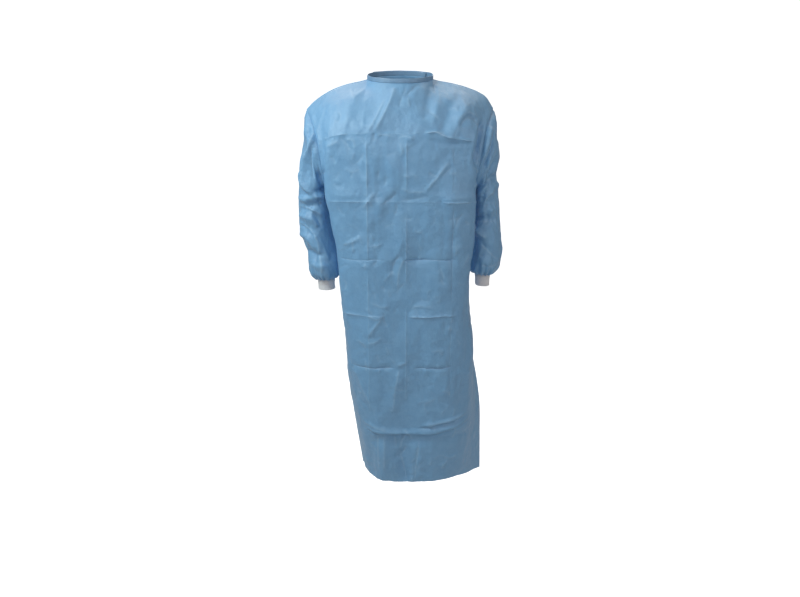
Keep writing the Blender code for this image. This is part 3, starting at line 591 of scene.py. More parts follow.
def through(share: Array, start: Array, middle: Array, end: Array) -> Array:
    """A bent line that starts at one value, passes by a second halfway and ends at a third."""
    pull = 2.0 * middle - (start + end) / 2.0
    return (1 - share) ** 2 * start + 2 * share * (1 - share) * pull + share**2 * end


def tangents(knots: Array, values: Array) -> Array:
    """The slope of a smooth curve at each of its knots.

    Args:
        knots: Where the curve's values are given.
        values: A number or an array of numbers at each knot.

    Returns:
        The slopes, in the shape of the values.
    """
    steps = np.diff(knots).reshape((-1,) + (1,) * (values.ndim - 1))
    slopes = np.diff(values, axis=0) / steps
    inner = (steps[:-1] * slopes[1:] + steps[1:] * slopes[:-1]) / (steps[:-1] + steps[1:])
    return np.concatenate([slopes[:1], inner, slopes[-1:]])


def spline(knots: Array | tuple, values: Array, places: Array, each: bool = False) -> Array:
    """Read a smooth curve at some places, or one of several curves at each place.

    Args:
        knots: Where the curve's values are given.
        values: A number or an array of numbers at each knot. With each, a row of points, one for each curve.
        places: Where the curve is read.
        each: Whether every place has a curve of its own.

    Returns:
        The value at each place.
    """
    knots, values, places = (np.asarray(item, dtype=float) for item in (knots, values, places))
    slopes = tangents(knots, values)
    index = np.clip(np.searchsorted(knots, places, side="right") - 1, 0, len(knots) - 2)
    step = np.diff(knots)[index].reshape((-1,) + (1,) * (values.ndim - 1 - each))
    share = (places - knots[index]).reshape(step.shape) / step
    own = (np.arange(len(places)),) if each else ()
    start, end = (index, *own), (index + 1, *own)
    return hermite(share, values[start], values[end], slopes[start] * step, slopes[end] * step)


def ease(value: Array | float, start: float, end: float) -> Array:
    """0 at the start and 1 at the end, smooth at both."""
    share = np.clip((np.asarray(value, dtype=float) - start) / (end - start), 0.0, 1.0)
    return share * share * (3.0 - 2.0 * share)


def read(columns: Columns, names: str, places: Array) -> list[Array]:
    """Several columns of a table, read along its first column."""
    knots = next(iter(columns.values()))
    return [spline(knots, columns[name], places) for name in names.split()]


def unevenness(points: Array, wavelength: float, seed: float) -> Array:
    """Smooth noise from -1 to 1 over the points.

    Args:
        points: Points, an array that ends in 3 numbers each.
        wavelength: The size of the noise's lumps, in metres.
        seed: Moves the noise to another place.

    Returns:
        A number for each point.
    """
    shift = Vector((seed, 1.7 * seed, -2.3 * seed))
    values = [noise.noise(Vector(point) / wavelength + shift) for point in points.reshape(-1, 3).tolist()]
    return np.clip(np.array(values) * 1.6, -1.0, 1.0).reshape(points.shape[:-1])


def facets(spots: Array, size: float, seed: int, lattice: int = 64, warp: float = 0.55) -> Array:
    """Flat three-sided facets with straight creases between them, as cloth has after it was packed.

    Args:
        spots: Places on the cloth laid flat, an array that ends in 2 numbers each, in metres.
        size: The usual size of a facet, in metres.
        seed: Chooses the facets.
        lattice: After how many facets they repeat.
        warp: How far their corners are moved, in sizes of a facet.

    Returns:
        A number from -1 to 1 for each place.
    """
    chance = np.random.default_rng(seed)
    lifts = chance.uniform(-1.0, 1.0, (lattice, lattice))
    turn = chance.uniform(0.0, math.pi)
    raised = np.concatenate([spots, np.zeros(spots.shape[:-1] + (1,))], axis=-1)
    bend = np.stack([unevenness(raised, 2.0 * size, seed + offset) for offset in (0.3, 7.7)], axis=-1)
    bent = spots / size + warp * bend
    x = bent @ np.array([math.cos(turn), math.sin(turn)])
    y = bent @ np.array([-math.sin(turn), math.cos(turn)]) / math.sqrt(3.0)
    across, down = x - y, 2.0 * y
    column, row = np.floor(across).astype(int), np.floor(down).astype(int)
    along, up = across - column, down - row
    upper = along + up > 1.0
    first, right, left, last = (lifts[(column + i) % lattice, (row + j) % lattice]
                                for i, j in ((0, 0), (1, 0), (0, 1), (1, 1)))
    return np.where(upper, (along + up - 1.0) * last + (1.0 - up) * right + (1.0 - along) * left,
                    (1.0 - along - up) * first + along * right + up * left)


@dataclass(frozen=True)
class StrewnCreases:
    """Short creases strewn over a rectangle, lying mostly across and along the folds of the pack."""

    seed: int
    count: int = 230
    low: Pair = (-0.25, -1.16)
    high: Pair = (0.25, -0.03)
    rise: float = 0.0021
    turns: tuple[float, ...] = (0.0, 0.25, 0.5, 0.5, 0.75)
    stray: float = 0.28
    run: Pair = (0.012, 0.046)
    bow: float = 0.16
    heights: Pair = (0.45, 1.3)
    widths: Pair = (0.0026, 0.0046)
    end_share: float = 0.4

    def table(self) -> Columns:
        """Choose the creases.

        Returns:
            A table of creases.
        """
        chance, count = np.random.default_rng(self.seed), self.count
        start = chance.uniform(self.low, self.high, (count, 2))
        turn = chance.choice(self.turns, count) * math.pi + chance.normal(0.0, self.stray, count)
        run = chance.uniform(*self.run, count)[:, None] * np.stack([np.cos(turn), np.sin(turn)], axis=-1)
        bow = chance.normal(0.0, self.bow, count)[:, None] * np.stack([-run[:, 1], run[:, 0]], axis=-1)
        middle, end = start + run / 2 + bow, start + run
        height = self.rise * chance.uniform(*self.heights, count) * chance.choice((-1.0, 1.0), count)
        width, low = chance.uniform(*self.widths, count), self.end_share * height
        return dict(zip(CREASE_COLUMNS.split(), (*start.T, *middle.T, *end.T, width, low, height, low)))


@dataclass(frozen=True)
class CreaseField:
    """Creases laid over a surface, each along a bent line with its own width and rises."""

    creases: dict[Crest, Columns]
    line_steps: int = 8
    end_share: float = 0.16
    end_rise: float = 0.25
    sharp_reach: float = 4.0
    soft_reach: float = 2.6
    crest_radius: float = 0.0007
    # The width of the line of paler fibres and painted highlight along sharp creases, and the rise at which
    # it is full.
    pale_and_highlight_width: float = 0.0024
    full_pale_and_highlight_rise: float = 0.003

    def lines(self, columns: Columns) -> list[Array]:
        """The bent line of each crease, as short straight runs.

        Args:
            columns: A table of creases.

        Returns:
            The points of each line, in X and Z.
        """
        share = np.linspace(0.0, 1.0, self.line_steps + 1)[:, None]
        found = []
        for row in range(len(columns["width"])):
            start, middle, end = (np.array([columns[name + "_x"][row], columns[name + "_z"][row]])
                                  for name in ("from", "by", "to"))
            found.append(through(share, start, middle, end))
        return found

    def trace(self, spots: Array, line: Array) -> tuple[Array, Array]:
        """How far the spots are from a line, signed by the side, and how far along it they are.

        Args:
            spots: Spots on the surface as rows of 2 numbers.
            line: The line's points in order.

        Returns:
            The signed distance in metres and the share of the line's length, for each spot.
        """
        best = np.full(len(spots), np.inf)
        side = np.zeros(len(spots))
        place = np.zeros(len(spots))
        count = len(line) - 1
        for index in range(count):
            run = line[index + 1] - line[index]
            offset = spots - line[index]
            near = np.clip(offset @ run / (run @ run), 0.0, 1.0)
            away = offset - near[:, None] * run
            distance = np.hypot(away[:, 0], away[:, 1])
            closer = distance < best
            best = np.where(closer, distance, best)
            side = np.where(closer, np.sign(run[0] * offset[:, 1] - run[1] * offset[:, 0]), side)
            place = np.where(closer, (index + near) / count, place)
        return best * side, place

    def lift(self, crest: Crest, distance: Array, width: Array) -> Array:
        """The cross-section of a crease.

        Args:
            crest: Its kind.
            distance: How far each point is from its line.
            width: How wide it is there.

        Returns:
            A number for each point, 1 at the crease's height.
        """
        if crest is Crest.ROUND:
            return bell(distance, width)
        if crest is Crest.SHARP:
            rounded = np.sqrt(distance**2 + self.crest_radius**2) - self.crest_radius
            return np.exp(-rounded / width)
        reach = distance / width
        return reach * np.exp(0.5 - 0.5 * reach**2)

    def measure(self, across: Array, along: Array) -> tuple[Array, Array]:
        """Read all the creases over a surface.

        Args:
            across: The first coordinate of each point, in the creases' own plane.
            along: The second coordinate of each point.

        Returns:
            How far each point is lifted, in metres, and how sharply the cloth is creased there, from 0 to 1:
            the mask of paler fibres and painted highlight along the sharp creases.
        """
        spots = np.stack([across.ravel(), along.ravel()], axis=-1)
        rise = np.zeros(len(spots))
        mark = np.zeros(len(spots))
        for crest, columns in self.creases.items():
            rises = zip(columns["from_rise"], columns["by_rise"], columns["to_rise"])
            for line, width, (first, middle, last) in zip(self.lines(columns), columns["width"], rises):
                margin = width * (self.sharp_reach if crest is Crest.SHARP else self.soft_reach)
                low, high = line.min(axis=0) - margin, line.max(axis=0) + margin
                close = np.nonzero(np.all((spots > low) & (spots < high), axis=1))[0]
                if not len(close):
                    continue
                distance, place = self.trace(spots[close], line)
                fade = ease(place, 0.0, self.end_share) * ease(1.0 - place, 0.0, self.end_share)
                spread = width * (0.75 + 0.5 * np.sin(math.pi * place))
                amount = through(place, first, middle, last) * (self.end_rise + (1.0 - self.end_rise) * fade)
                rise[close] += self.lift(crest, distance, spread) * amount
                # Along each sharp crease the cloth is marked with paler fibres and a painted highlight.
                if crest is Crest.SHARP:
                    pale_and_highlight_line = bell(distance, self.pale_and_highlight_width) * fade
                    pale_and_highlight_line = pale_and_highlight_line * min(1.0, abs(middle) / self.full_pale_and_highlight_rise)
                    mark[close] = np.maximum(mark[close], pale_and_highlight_line)
        return rise.reshape(across.shape), mark.reshape(across.shape)


@dataclass(frozen=True)
class BodyForm:
    """The plain form of the front and back panels, the same as in the solids."""

    top: float = 0.0
    underarm: float = -0.297
    hem: float = -1.160
    neck_share: float = 5.0 / 12.0
    lap_share: float = 3.0 / 12.0
    corner_share: float = 0.72
    neck_reach: float = 0.15
    edge_reach: float = 0.08
    neck_half_width: float = 0.089
    neck_front: Pair = (-0.078, -0.0115)
    neck_back: Pair = (0.068, 0.016)
    neck_side: Pair = (0.004, 0.003)

    def armhole(self, side: Side, face: Face, heights: Array) -> Array:
        """Points of the seam between body and sleeve, on its front or back half."""
        x, y, z = read(ARMHOLE_FRONT if face is Face.FRONT else ARMHOLE_BACK, side.value + " y z", heights)
        return np.stack([side.sign * x, y, z], axis=-1)

    def edge(self, side: Side, face: Face, heights: Array) -> Array:
        """The side seam up to the underarm, and the armhole above it.

        Args:
            side: The wearer's right or left.
            face: The half of the armhole, front or back.
            heights: The height of each point.

        Returns:
            A point for each height.
        """
        x, y, z = read(SIDE_SEAM, f"{side.value} y {side.value}_z", np.minimum(heights, self.underarm))
        below = np.stack([side.sign * x, y, z], axis=-1)
        above = self.armhole(side, face, np.maximum(heights, self.underarm))
        return np.where((heights > self.underarm)[:, None], above, below)

    def top_edge(self, face: Face, shares: Array) -> Array:
        """The shoulder seams and the neckline between them.

        Args:
            face: The front or the back.
            shares: The share across of each point.

        Returns:
            A point for each share.
        """
        size = np.abs(shares)
        turn = np.clip(shares / self.neck_share, -1.0, 1.0) * math.pi / 2
        middle = self.neck_front if face is Face.FRONT else self.neck_back
        neck = np.stack([
            self.neck_half_width * np.sin(turn),
            self.neck_side[0] + (middle[0] - self.neck_side[0]) * np.cos(turn),
            self.neck_side[1] + (middle[1] - self.neck_side[1]) * np.cos(turn),
        ], axis=-1)
        along = np.clip((size - self.neck_share) / (1.0 - self.neck_share), 0.0, 1.0)
        tips = np.where(shares < 0, ARMHOLE_FRONT["right"][-1], ARMHOLE_FRONT["left"][-1])
        shoulder = np.stack([
            np.sign(shares) * (self.neck_half_width + (tips - self.neck_half_width) * along),
            self.neck_side[0] + (ARMHOLE_FRONT["y"][-1] - self.neck_side[0]) * along,
            np.where(shares < 0, *read(SHOULDER, "right left", along)),
        ], axis=-1)
        return np.where((size < self.neck_share)[:, None], neck, shoulder)

    def plain_stations(self, face: Face, heights: Array) -> tuple[list[Array], Array]:
        """The stations across a panel before the neck is bent.

        Args:
            face: The front or the back.
            heights: The height of each row.

        Returns:
            The five stations of the table and seams, and the two points beside the neck, each with its rows.
        """
        columns = SECTIONS[face]
        centre = np.stack(read(columns, "centre_x centre_y centre_z", heights), axis=-1)
        right, left, y, right_z, left_z = read(columns, "right left corner_y right_z left_z", heights)
        stations = [self.edge(Side.RIGHT, face, heights), np.stack([-right, y, right_z], axis=-1), centre,
                    np.stack([left, y, left_z], axis=-1), self.edge(Side.LEFT, face, heights)]
        five = (-1.0, -self.corner_share, 0.0, self.corner_share, 1.0)
        sides = [spline(five, np.stack(stations), np.full(len(heights), share), each=True)
                 for share in (-self.neck_share, self.neck_share)]
        return stations, np.stack(sides)

    def stations(self, face: Face, heights: Array) -> Array:
        """The seven stations across a panel at each height.

        Args:
            face: The front or the back.
            heights: The height of each row.

        Returns:
            The points, stations by rows by 3.
        """
        plain, sides = self.plain_stations(face, heights)
        top_sides = self.plain_stations(face, np.array([self.top]))[1][:, 0]
        shift = self.top_edge(face, np.array([-self.neck_share, self.neck_share])) - top_sides
        sides = sides + ease(heights, self.top - self.neck_reach, self.top)[:, None] * shift[:, None]
        return np.stack([plain[0], plain[1], sides[0], plain[2], sides[1], plain[3], plain[4]])

    def points(self, face: Face, heights: Array, shares: Array) -> Array:
        """Points of a panel's plain form.

        Args:
            face: The front or the back.
            heights: The height of each point on the panel, in any shape.
            shares: The share across of each point, in the same shape.

        Returns:
            The points, in that shape with 3 numbers each.
        """
        shape = heights.shape
        heights, shares = heights.ravel(), shares.ravel()
        seven = (-1.0, -self.corner_share, -self.neck_share, 0.0, self.neck_share, self.corner_share, 1.0)
        plain = spline(seven, self.stations(face, heights), shares, each=True)
        top = np.repeat(self.stations(face, np.array([self.top])), len(shares), axis=1)
        missed = self.top_edge(face, shares) - spline(seven, top, shares, each=True)
        bend = ease(heights, self.top - self.edge_reach, self.top)[:, None]
        return (plain + bend * missed).reshape(shape + (3,))


def normals(grid: Array, closed: bool = False) -> Array:
    """Unit normals of a grid's surface, facing away from the middle of the piece.

    Args:
        grid: Points, rows by columns by 3.
        closed: Whether the last column meets the first.

    Returns:
        A unit vector for each point.
    """
    if closed:
        across = np.roll(grid, -1, axis=1) - np.roll(grid, 1, axis=1)
        spokes = grid - grid.mean(axis=1, keepdims=True)
    else:
        across = np.gradient(grid, axis=1)
        spokes = grid * (1.0, 1.0, 0.0)
    cross = unit(np.cross(across, np.gradient(grid, axis=0)))
    return cross if np.sum(cross * spokes) > 0 else -cross


def flat_map(grid: Array, closed: bool = False) -> Array:
    """How far each point lies across and down the cloth, measured along it in metres."""
    widths = lengths(grid, 1)
    return np.stack([widths - (0.0 if closed else widths[:, -1:] / 2.0), lengths(grid)], axis=-1)


def hollows(grid: Array, facing: Array, closed: bool, reach: int = 2, limit: float = 0.004) -> Array:
    """How far the points close to each point lie inside it, so that a lining can stay clear of them.

    Args:
        grid: Points, rows by columns by 3.
        facing: The unit normal at each point.
        closed: Whether the last column meets the first.
        reach: How many rows and columns on each side count as close.
        limit: The most that is given, in metres.

    Returns:
        A depth in metres for each point, 0 on the borders.
    """
    padded = np.pad(grid, ((reach, reach), (0, 0), (0, 0)), mode="edge")
    padded = np.pad(padded, ((0, 0), (reach, reach), (0, 0)), mode="wrap" if closed else "edge")
    rows, columns = grid.shape[:2]
    deepest = np.zeros((rows, columns))
    for down in range(2 * reach + 1):
        for over in range(2 * reach + 1):
            near = padded[down:down + rows, over:over + columns]
            deepest = np.maximum(deepest, np.sum(facing * (grid - near), axis=-1))
    deepest[[0, -1]] = 0.0
    if not closed:
        deepest[:, [0, -1]] = 0.0
    return np.minimum(deepest, limit)


def new_object(name: str, data: bpy.types.ID) -> Piece:
    """A new object in the scene.

    Args:
        name: Its name.
        data: Its mesh, light or camera.

    Returns:
        The object.
    """
    item = bpy.data.objects.new(name, data)
    bpy.context.scene.collection.objects.link(item)
    return item


@dataclass(frozen=True)
class ClothShell:
    """A closed shell of cloth: a fine outer side, and a lining with fewer points close inside it."""

    name: str
    grid: Array
    thickness: float
    material: Material
    mark: Array | None = None
    closed: bool = False
    facing: Array | None = None
    stride: int = 2
    tested_quads: int = 400

    def kept(self, count: int, closed: bool) -> Array:
        """Which rows or columns the lining has."""
        chosen = np.arange(0, count, self.stride)
        return chosen if closed else np.unique(np.append(chosen, count - 1))

    def quads(self, index: Array) -> Array:
        """The quads of a grid of point numbers.

        Args:
            index: The point numbers, rows by columns.

        Returns:
            Four point numbers for each quad.
        """
        after = np.roll(index, -1, axis=1) if self.closed else index[:, 1:]
        before = index if self.closed else index[:, :-1]
        return np.stack([before[:-1], after[:-1], after[1:], before[1:]], axis=-1).reshape(-1, 4)

    @staticmethod
    def rim(outer: Array, lining: Array, kept: Array, turn: bool) -> list[tuple[int, ...]]:
        """The faces between a border of the outer side and the same border of the lining.

        Args:
            outer: The point numbers of the outer border.
            lining: The point numbers of the lining's border.
            kept: Where the lining's points stand along the outer border.
            turn: Whether the faces are turned round.

        Returns:
            The faces as tuples of point numbers.
        """
        faces = []
        for index, (start, end) in enumerate(zip(kept[:-1], kept[1:])):
            first, last = lining[index], lining[index + 1]
            for place in range(start, end - 1):
                faces.append((outer[place], first, outer[place + 1]))
            faces.append((outer[end - 1], first, last, outer[end]))
        faces = [tuple(int(point) for point in face) for face in faces]
        return [face[::-1] for face in faces] if turn else faces

    def faces(self, outer: Array, lining: Array, rows: Array,
              columns: Array) -> list[tuple[int, ...]]:
        """The faces of both sides and of the borders between them.

        Args:
            outer: The point numbers of the outer side, rows by columns.
            lining: The point numbers of the lining.
            rows: The rows of the outer side that the lining has.
            columns: The columns that it has.

        Returns:
            The faces as lists or tuples of point numbers.
        """
        found = self.quads(outer).tolist() + self.quads(lining)[:, ::-1].tolist()
        if self.closed:
            across = np.append(columns, outer.shape[1])
            outer, lining = (np.concatenate([part, part[:, :1]], axis=1) for part in (outer, lining))
        else:
            across = columns
            found += self.rim(outer[:, 0], lining[:, 0], rows, True)
            found += self.rim(outer[:, -1], lining[:, -1], rows, False)
        found += self.rim(outer[0], lining[0], across, False)
        return found + self.rim(outer[-1], lining[-1], across, True)

    def build(self) -> Piece:
        """Make the shell's object.

        Returns:
            The object, smooth, with the cloth's own map in metres and its creases' mark of paler fibres and
            painted highlight as an attribute.
        """
        facing = normals(self.grid, self.closed) if self.facing is None else self.facing
        rows, columns = self.kept(len(self.grid), False), self.kept(self.grid.shape[1], self.closed)
        chosen = np.ix_(rows, columns)
        depth = self.thickness / 2.0 + (hollows(self.grid, facing, self.closed) if self.stride > 1 else 0.0)
        inside = (self.grid - facing * np.broadcast_to(depth, self.grid.shape[:2])[..., None])[chosen]
        outside = self.grid + facing * self.thickness / 2.0
        points = np.concatenate([outside.reshape(-1, 3), inside.reshape(-1, 3)])
        outer = np.arange(self.grid.shape[0] * self.grid.shape[1]).reshape(self.grid.shape[:2])
        lining = outer.size + np.arange(len(rows) * len(columns)).reshape(len(rows), len(columns))
        faces = self.faces(outer, lining, rows, columns)
        if self.turned(points, np.array(faces[:self.tested_quads]), facing):
            faces = [face[::-1] for face in faces]
        mesh = bpy.data.meshes.new(self.name)
        mesh.from_pydata(points.tolist(), [], faces)
        flat = flat_map(self.grid, self.closed)
        flat = np.concatenate([flat.reshape(-1, 2), flat[chosen].reshape(-1, 2)])
        loops = np.empty(len(mesh.loops), dtype=np.int32)
        mesh.loops.foreach_get("vertex_index", loops)
        mesh.uv_layers.new(name="cloth").data.foreach_set("uv", flat[loops].ravel())
        # The crease attribute carries the mark of paler fibres and painted highlight along the creases.
        mark = np.zeros(self.grid.shape[:2]) if self.mark is None else self.mark
        layer = mesh.attributes.new("crease", "FLOAT", "POINT")
        layer.data.foreach_set("value", np.concatenate([mark.ravel(), mark[chosen].ravel()]))
        mesh.shade_smooth()
        mesh.materials.append(self.material)
        return new_object(self.name, mesh)

    @staticmethod
    def turned(points: Array, quads: Array, facing: Array) -> bool:
        """Whether the quads of the outer side face inwards.

        Args:
            points: The shell's points.
            quads: Some quads of its outer side.
            facing: The unit normal at each point of that side.

        Returns:
            True if most of their area faces inwards.
        """
        first, second, third = (points[quads[:, index]] for index in range(3))
        cross = np.cross(second - first, third - first)
        return bool(np.sum(cross * facing.reshape(-1, 3)[quads[:, 0]]) < 0)


def set_in(border: Array, inward: Array, reach: float = 0.0005) -> Array:
    """Points a little way in from a border, which keep its turn narrow."""
    step = inward - border
    return border + step * np.minimum(0.5, reach / np.linalg.norm(step, axis=-1, keepdims=True))


def seam_edge(border: Array, inward: Array, facing: Array, clear: float, turn: float,
              lean: float = 1.0) -> Array:
    """The lines of a seam: the allowance turned inside, the edge itself and a line close to it.

    Args:
        border: The border of the plain surface.
        inward: The next line of points inside the piece.
        facing: The unit normal at each point of the border.
        clear: How far the edge is moved into its own piece, so that it stays clear of the next one.
        turn: How far the allowance goes in.
        lean: How much of that move the allowance makes once more.

    Returns:
        The three lines, from the allowance to the cloth.
    """
    step = unit(inward - border) * clear
    edge = border + step
    return np.stack([edge - facing * turn + step * lean, edge, set_in(edge, inward)])


class NodeTree:
    """A short way to add and join nodes of one tree."""

    def __init__(self, tree: bpy.types.NodeTree) -> None:
        """Keep the tree."""
        self.tree = tree

    def add(self, kind: str, settings: dict | None = None, **values: object) -> bpy.types.Node:
        """Add a node.

        Args:
            kind: The node's type.
            settings: Properties of the node itself.
            **values: Inputs by name with _ for a space, each a value or a socket to join.

        Returns:
            The new node.
        """
        node = self.tree.nodes.new(kind)
        for name, value in (settings or {}).items():
            setattr(node, name, value)
        self.fill(node, {name.replace("_", " "): value for name, value in values.items()})
        return node

    def fill(self, node: bpy.types.Node, values: dict) -> bpy.types.Node:
        """Fill a node's inputs.

        Args:
            node: The node.
            values: A value or a socket to join for each input, by its name or number.

        Returns:
            The node.
        """
        for key, value in values.items():
            if isinstance(value, Socket):
                self.tree.links.new(value, node.inputs[key])
            else:
                node.inputs[key].default_value = value
        return node

    def math(self, operation: str, first: Number, second: Number = 0.0) -> Socket:
        """The result of a sum on one or two numbers."""
        node = self.add("ShaderNodeMath", {"operation": operation})
        return self.fill(node, {0: first, 1: second}).outputs[0]

    def times(self, first: Number, second: Number) -> Socket:
        """One number times another."""
        return self.math("MULTIPLY", first, second)

    def plus(self, first: Number, second: Number) -> Socket:
        """One number and another."""
        return self.math("ADD", first, second)

    def minus(self, first: Number, second: Number) -> Socket:
        """One number less another."""
        return self.math("SUBTRACT", first, second)

    def mix(self, share: Number, first: Socket | Triple, second: Triple) -> Socket:
        """A colour between two colours."""
        colours = {6: first if isinstance(first, Socket) else (*first, 1.0), 7: (*second, 1.0)}
        return self.fill(self.add("ShaderNodeMix", {"data_type": "RGBA"}), {0: share, **colours}).outputs[2]


class ShaderGroup:
    """A shader group of numbers that more than one material uses."""

    def __init__(self, name: str, inputs: dict[str, float], outputs: str) -> None:
        """Start the group.

        Args:
            name: Its name.
            inputs: The default of each of its inputs, by name.
            outputs: The names of its outputs.
        """
        self.tree = bpy.data.node_groups.new(name, "ShaderNodeTree")
        new_socket = self.tree.interface.new_socket
        for label, default in inputs.items():
            new_socket(name=label, in_out="INPUT", socket_type="NodeSocketFloat").default_value = default
        for label in outputs.split():
            new_socket(name=label, in_out="OUTPUT", socket_type="NodeSocketFloat")
        self.nodes = NodeTree(self.tree)
        self.inputs = self.nodes.add("NodeGroupInput").outputs


class FibreGroup(ShaderGroup):
    """Shader group: the cloudy spread and the fine tangle of the fibres of a bonded cloth."""

    def __init__(self) -> None:
        """Build the group once."""
        super().__init__("bonded_fibres", {"Cloud Scale": 60.0, "Fibre Scale": 900.0}, "Cloud Fibre")
        nodes = self.nodes
        place = nodes.add("ShaderNodeTexCoord").outputs["Object"]
        cloud = nodes.add("ShaderNodeTexNoise", Vector=place, Scale=self.inputs["Cloud Scale"], Detail=4.0,
                          Roughness=0.62)
        ways = [nodes.add("ShaderNodeMapping", Vector=place, Scale=scale, Rotation=turn).outputs[0]
                for scale, turn in (((1.0, 1.0, 0.16), (0.0, 0.5, 0.0)), ((0.2, 1.0, 1.0), (0.0, 0.3, 0.0)))]
        tangle = [nodes.add("ShaderNodeTexNoise", Vector=way, Scale=self.inputs["Fibre Scale"], Detail=3.0,
                            Roughness=0.7).outputs["Fac"] for way in ways]
        nodes.add("NodeGroupOutput", Cloud=cloud.outputs["Fac"], Fibre=nodes.math("MAXIMUM", *tangle))


class BondGroup(ShaderGroup):
    """Shader group: small oval points in staggered rows, where the cloth's fibres are pressed together."""

    def __init__(self) -> None:
        """Build the group once."""
        super().__init__("bond_points", {"Pitch": 0.0016, "Size": 0.30}, "Point")
        nodes, pitch, size = self.nodes, self.inputs["Pitch"], self.inputs["Size"]
        flat = nodes.add("ShaderNodeUVMap", {"uv_map": "cloth"}).outputs[0]
        parts = nodes.add("ShaderNodeSeparateXYZ", Vector=flat).outputs
        across, down = nodes.math("DIVIDE", parts["X"], pitch), nodes.math("DIVIDE", parts["Y"], pitch)
        stagger = nodes.times(nodes.math("FLOOR", down), 0.5)
        x = nodes.minus(nodes.math("FRACT", nodes.plus(across, stagger)), 0.5)
        y = nodes.times(nodes.minus(nodes.math("FRACT", down), 0.5), 1.5)
        radius = nodes.math("SQRT", nodes.plus(nodes.times(x, x), nodes.times(y, y)))
        edge = nodes.add("ShaderNodeMapRange", {"interpolation_type": "SMOOTHSTEP"}, Value=radius,
                         From_Min=size, From_Max=nodes.times(size, 0.55), To_Min=0.0, To_Max=1.0)
        nodes.add("NodeGroupOutput", Point=edge.outputs[0])


class CrumpleGroup(ShaderGroup):
    """Shader group: the small dents and short creases of cloth that was packed, finer than its mesh shows."""

    def __init__(self) -> None:
        """Build the group once."""
        super().__init__("crumpled_dents", {"Dents": 62.0, "Warp": 0.014}, "Height")
        nodes, dents = self.nodes, self.inputs["Dents"]
        place = nodes.add("ShaderNodeTexCoord").outputs["Object"]
        stray = nodes.add("ShaderNodeTexNoise", Vector=place, Scale=48.0, Detail=2.0).outputs["Color"]
        warp = nodes.add("ShaderNodeVectorMath", {"operation": "SCALE"}, Vector=stray,
                         Scale=self.inputs["Warp"]).outputs[0]
        moved = nodes.add("ShaderNodeVectorMath", {"operation": "ADD"})
        moved = nodes.fill(moved, {0: place, 1: warp}).outputs[0]
        coarse, fine = (nodes.add("ShaderNodeTexVoronoi", Vector=moved, Scale=scale).outputs["Distance"]
                        for scale in (dents, nodes.times(dents, 2.7)))
        patch = nodes.add("ShaderNodeTexNoise", Vector=place, Scale=11.0, Detail=1.0).outputs["Fac"]
        amount = nodes.add("ShaderNodeMapRange", Value=patch, From_Min=0.35, From_Max=0.62, To_Min=0.25)
        both = nodes.plus(coarse, nodes.times(fine, 0.34))
        nodes.add("NodeGroupOutput", Height=nodes.times(both, amount.outputs[0]))


def new_material(name: str, values: dict) -> tuple[Material, NodeTree, bpy.types.Node]:
    """Start a material.

    Args:
        name: Its name.
        values: The plain values of its shader, by the name of the input.

    Returns:
        The material, the helper for its nodes, and its shader.
    """
    material = bpy.data.materials.new(name)
    material.use_nodes = True
    nodes = NodeTree(material.node_tree)
    return material, nodes, nodes.fill(material.node_tree.nodes["Principled BSDF"], values)


@dataclass(frozen=True)
class BondedCloth:
    """Finish: light blue non-woven cloth, point bonded, with paler fibres where it was creased, a whitening
    that is also painted highlight along the crease lines.
    """

    name: str = "gown_cloth"
    colour: Triple = (0.175, 0.400, 0.665)
    pale: Triple = (0.200, 0.435, 0.700)
    deep: Triple = (0.150, 0.360, 0.625)
    # creased: the pale colour of loose fibres and of crease lines; on the crease lines it is partly real
    # whitening and partly painted highlight.
    creased: Triple = (0.34, 0.56, 0.78)
    crease_pale_and_highlight_share: float = 0.36
    roughness: float = 0.50
    specular: float = 0.85
    sheen: float = 0.12
    sheen_roughness: float = 0.45
    sheen_tint: Triple = (0.86, 0.93, 1.0)
    bump_depth: float = 0.00016
    dent_depth: float = 0.0011
    pitch: float = 0.0017

    def material(self, fibres: FibreGroup, bonds: BondGroup, dents: CrumpleGroup) -> Material:
        """Build the material.

        Args:
            fibres: The group of the cloth's fibres.
            bonds: The group of its bond points.
            dents: The group of its small dents.

        Returns:
            The new material.
        """
        material, nodes, shader = new_material(self.name, {
            "Specular IOR Level": self.specular, "Sheen Weight": self.sheen,
            "Sheen Roughness": self.sheen_roughness, "Sheen Tint": (*self.sheen_tint, 1.0)})
        fibre = nodes.add("ShaderNodeGroup", {"node_tree": fibres.tree})
        bond = nodes.add("ShaderNodeGroup", {"node_tree": bonds.tree}, Pitch=self.pitch)
        cloud, tangle, point = fibre.outputs["Cloud"], fibre.outputs["Fibre"], bond.outputs["Point"]
        spread = nodes.add("ShaderNodeMapRange", Value=cloud, From_Min=0.32, From_Max=0.68)
        base = nodes.mix(0.45, nodes.mix(spread.outputs[0], self.deep, self.pale), self.colour)
        threads = nodes.add("ShaderNodeMapRange", Value=tangle, From_Min=0.5, From_Max=0.8, To_Max=0.22)
        base = nodes.mix(threads.outputs[0], base, self.creased)
        base = nodes.mix(nodes.times(point, 0.28), base, self.deep)
        # The crease attribute mixes the base towards the pale colour along the crease lines: paler fibres
        # where creased, and a painted highlight on the creases.
        crease = nodes.add("ShaderNodeAttribute", {"attribute_name": "crease"}).outputs["Fac"]
        pale_and_highlight_amount = nodes.times(nodes.times(crease, cloud), 2.0 * self.crease_pale_and_highlight_share)
        rough = nodes.plus(nodes.times(cloud, 0.12), self.roughness - 0.06)
        height = nodes.minus(nodes.times(tangle, 0.7), nodes.times(point, 0.8))
        dent = nodes.add("ShaderNodeGroup", {"node_tree": dents.tree}).outputs["Height"]
        crumpled = nodes.add("ShaderNodeBump", Height=dent, Strength=1.0, Distance=self.dent_depth)
        bump = nodes.add("ShaderNodeBump", Height=height, Strength=0.7, Distance=self.bump_depth,
                         Normal=crumpled.outputs[0])
        nodes.fill(shader, {
            "Base Color": nodes.mix(pale_and_highlight_amount, base, self.creased), "Normal": bump.outputs[0],
            "Roughness": nodes.minus(rough, nodes.times(point, 0.12))})
        return material


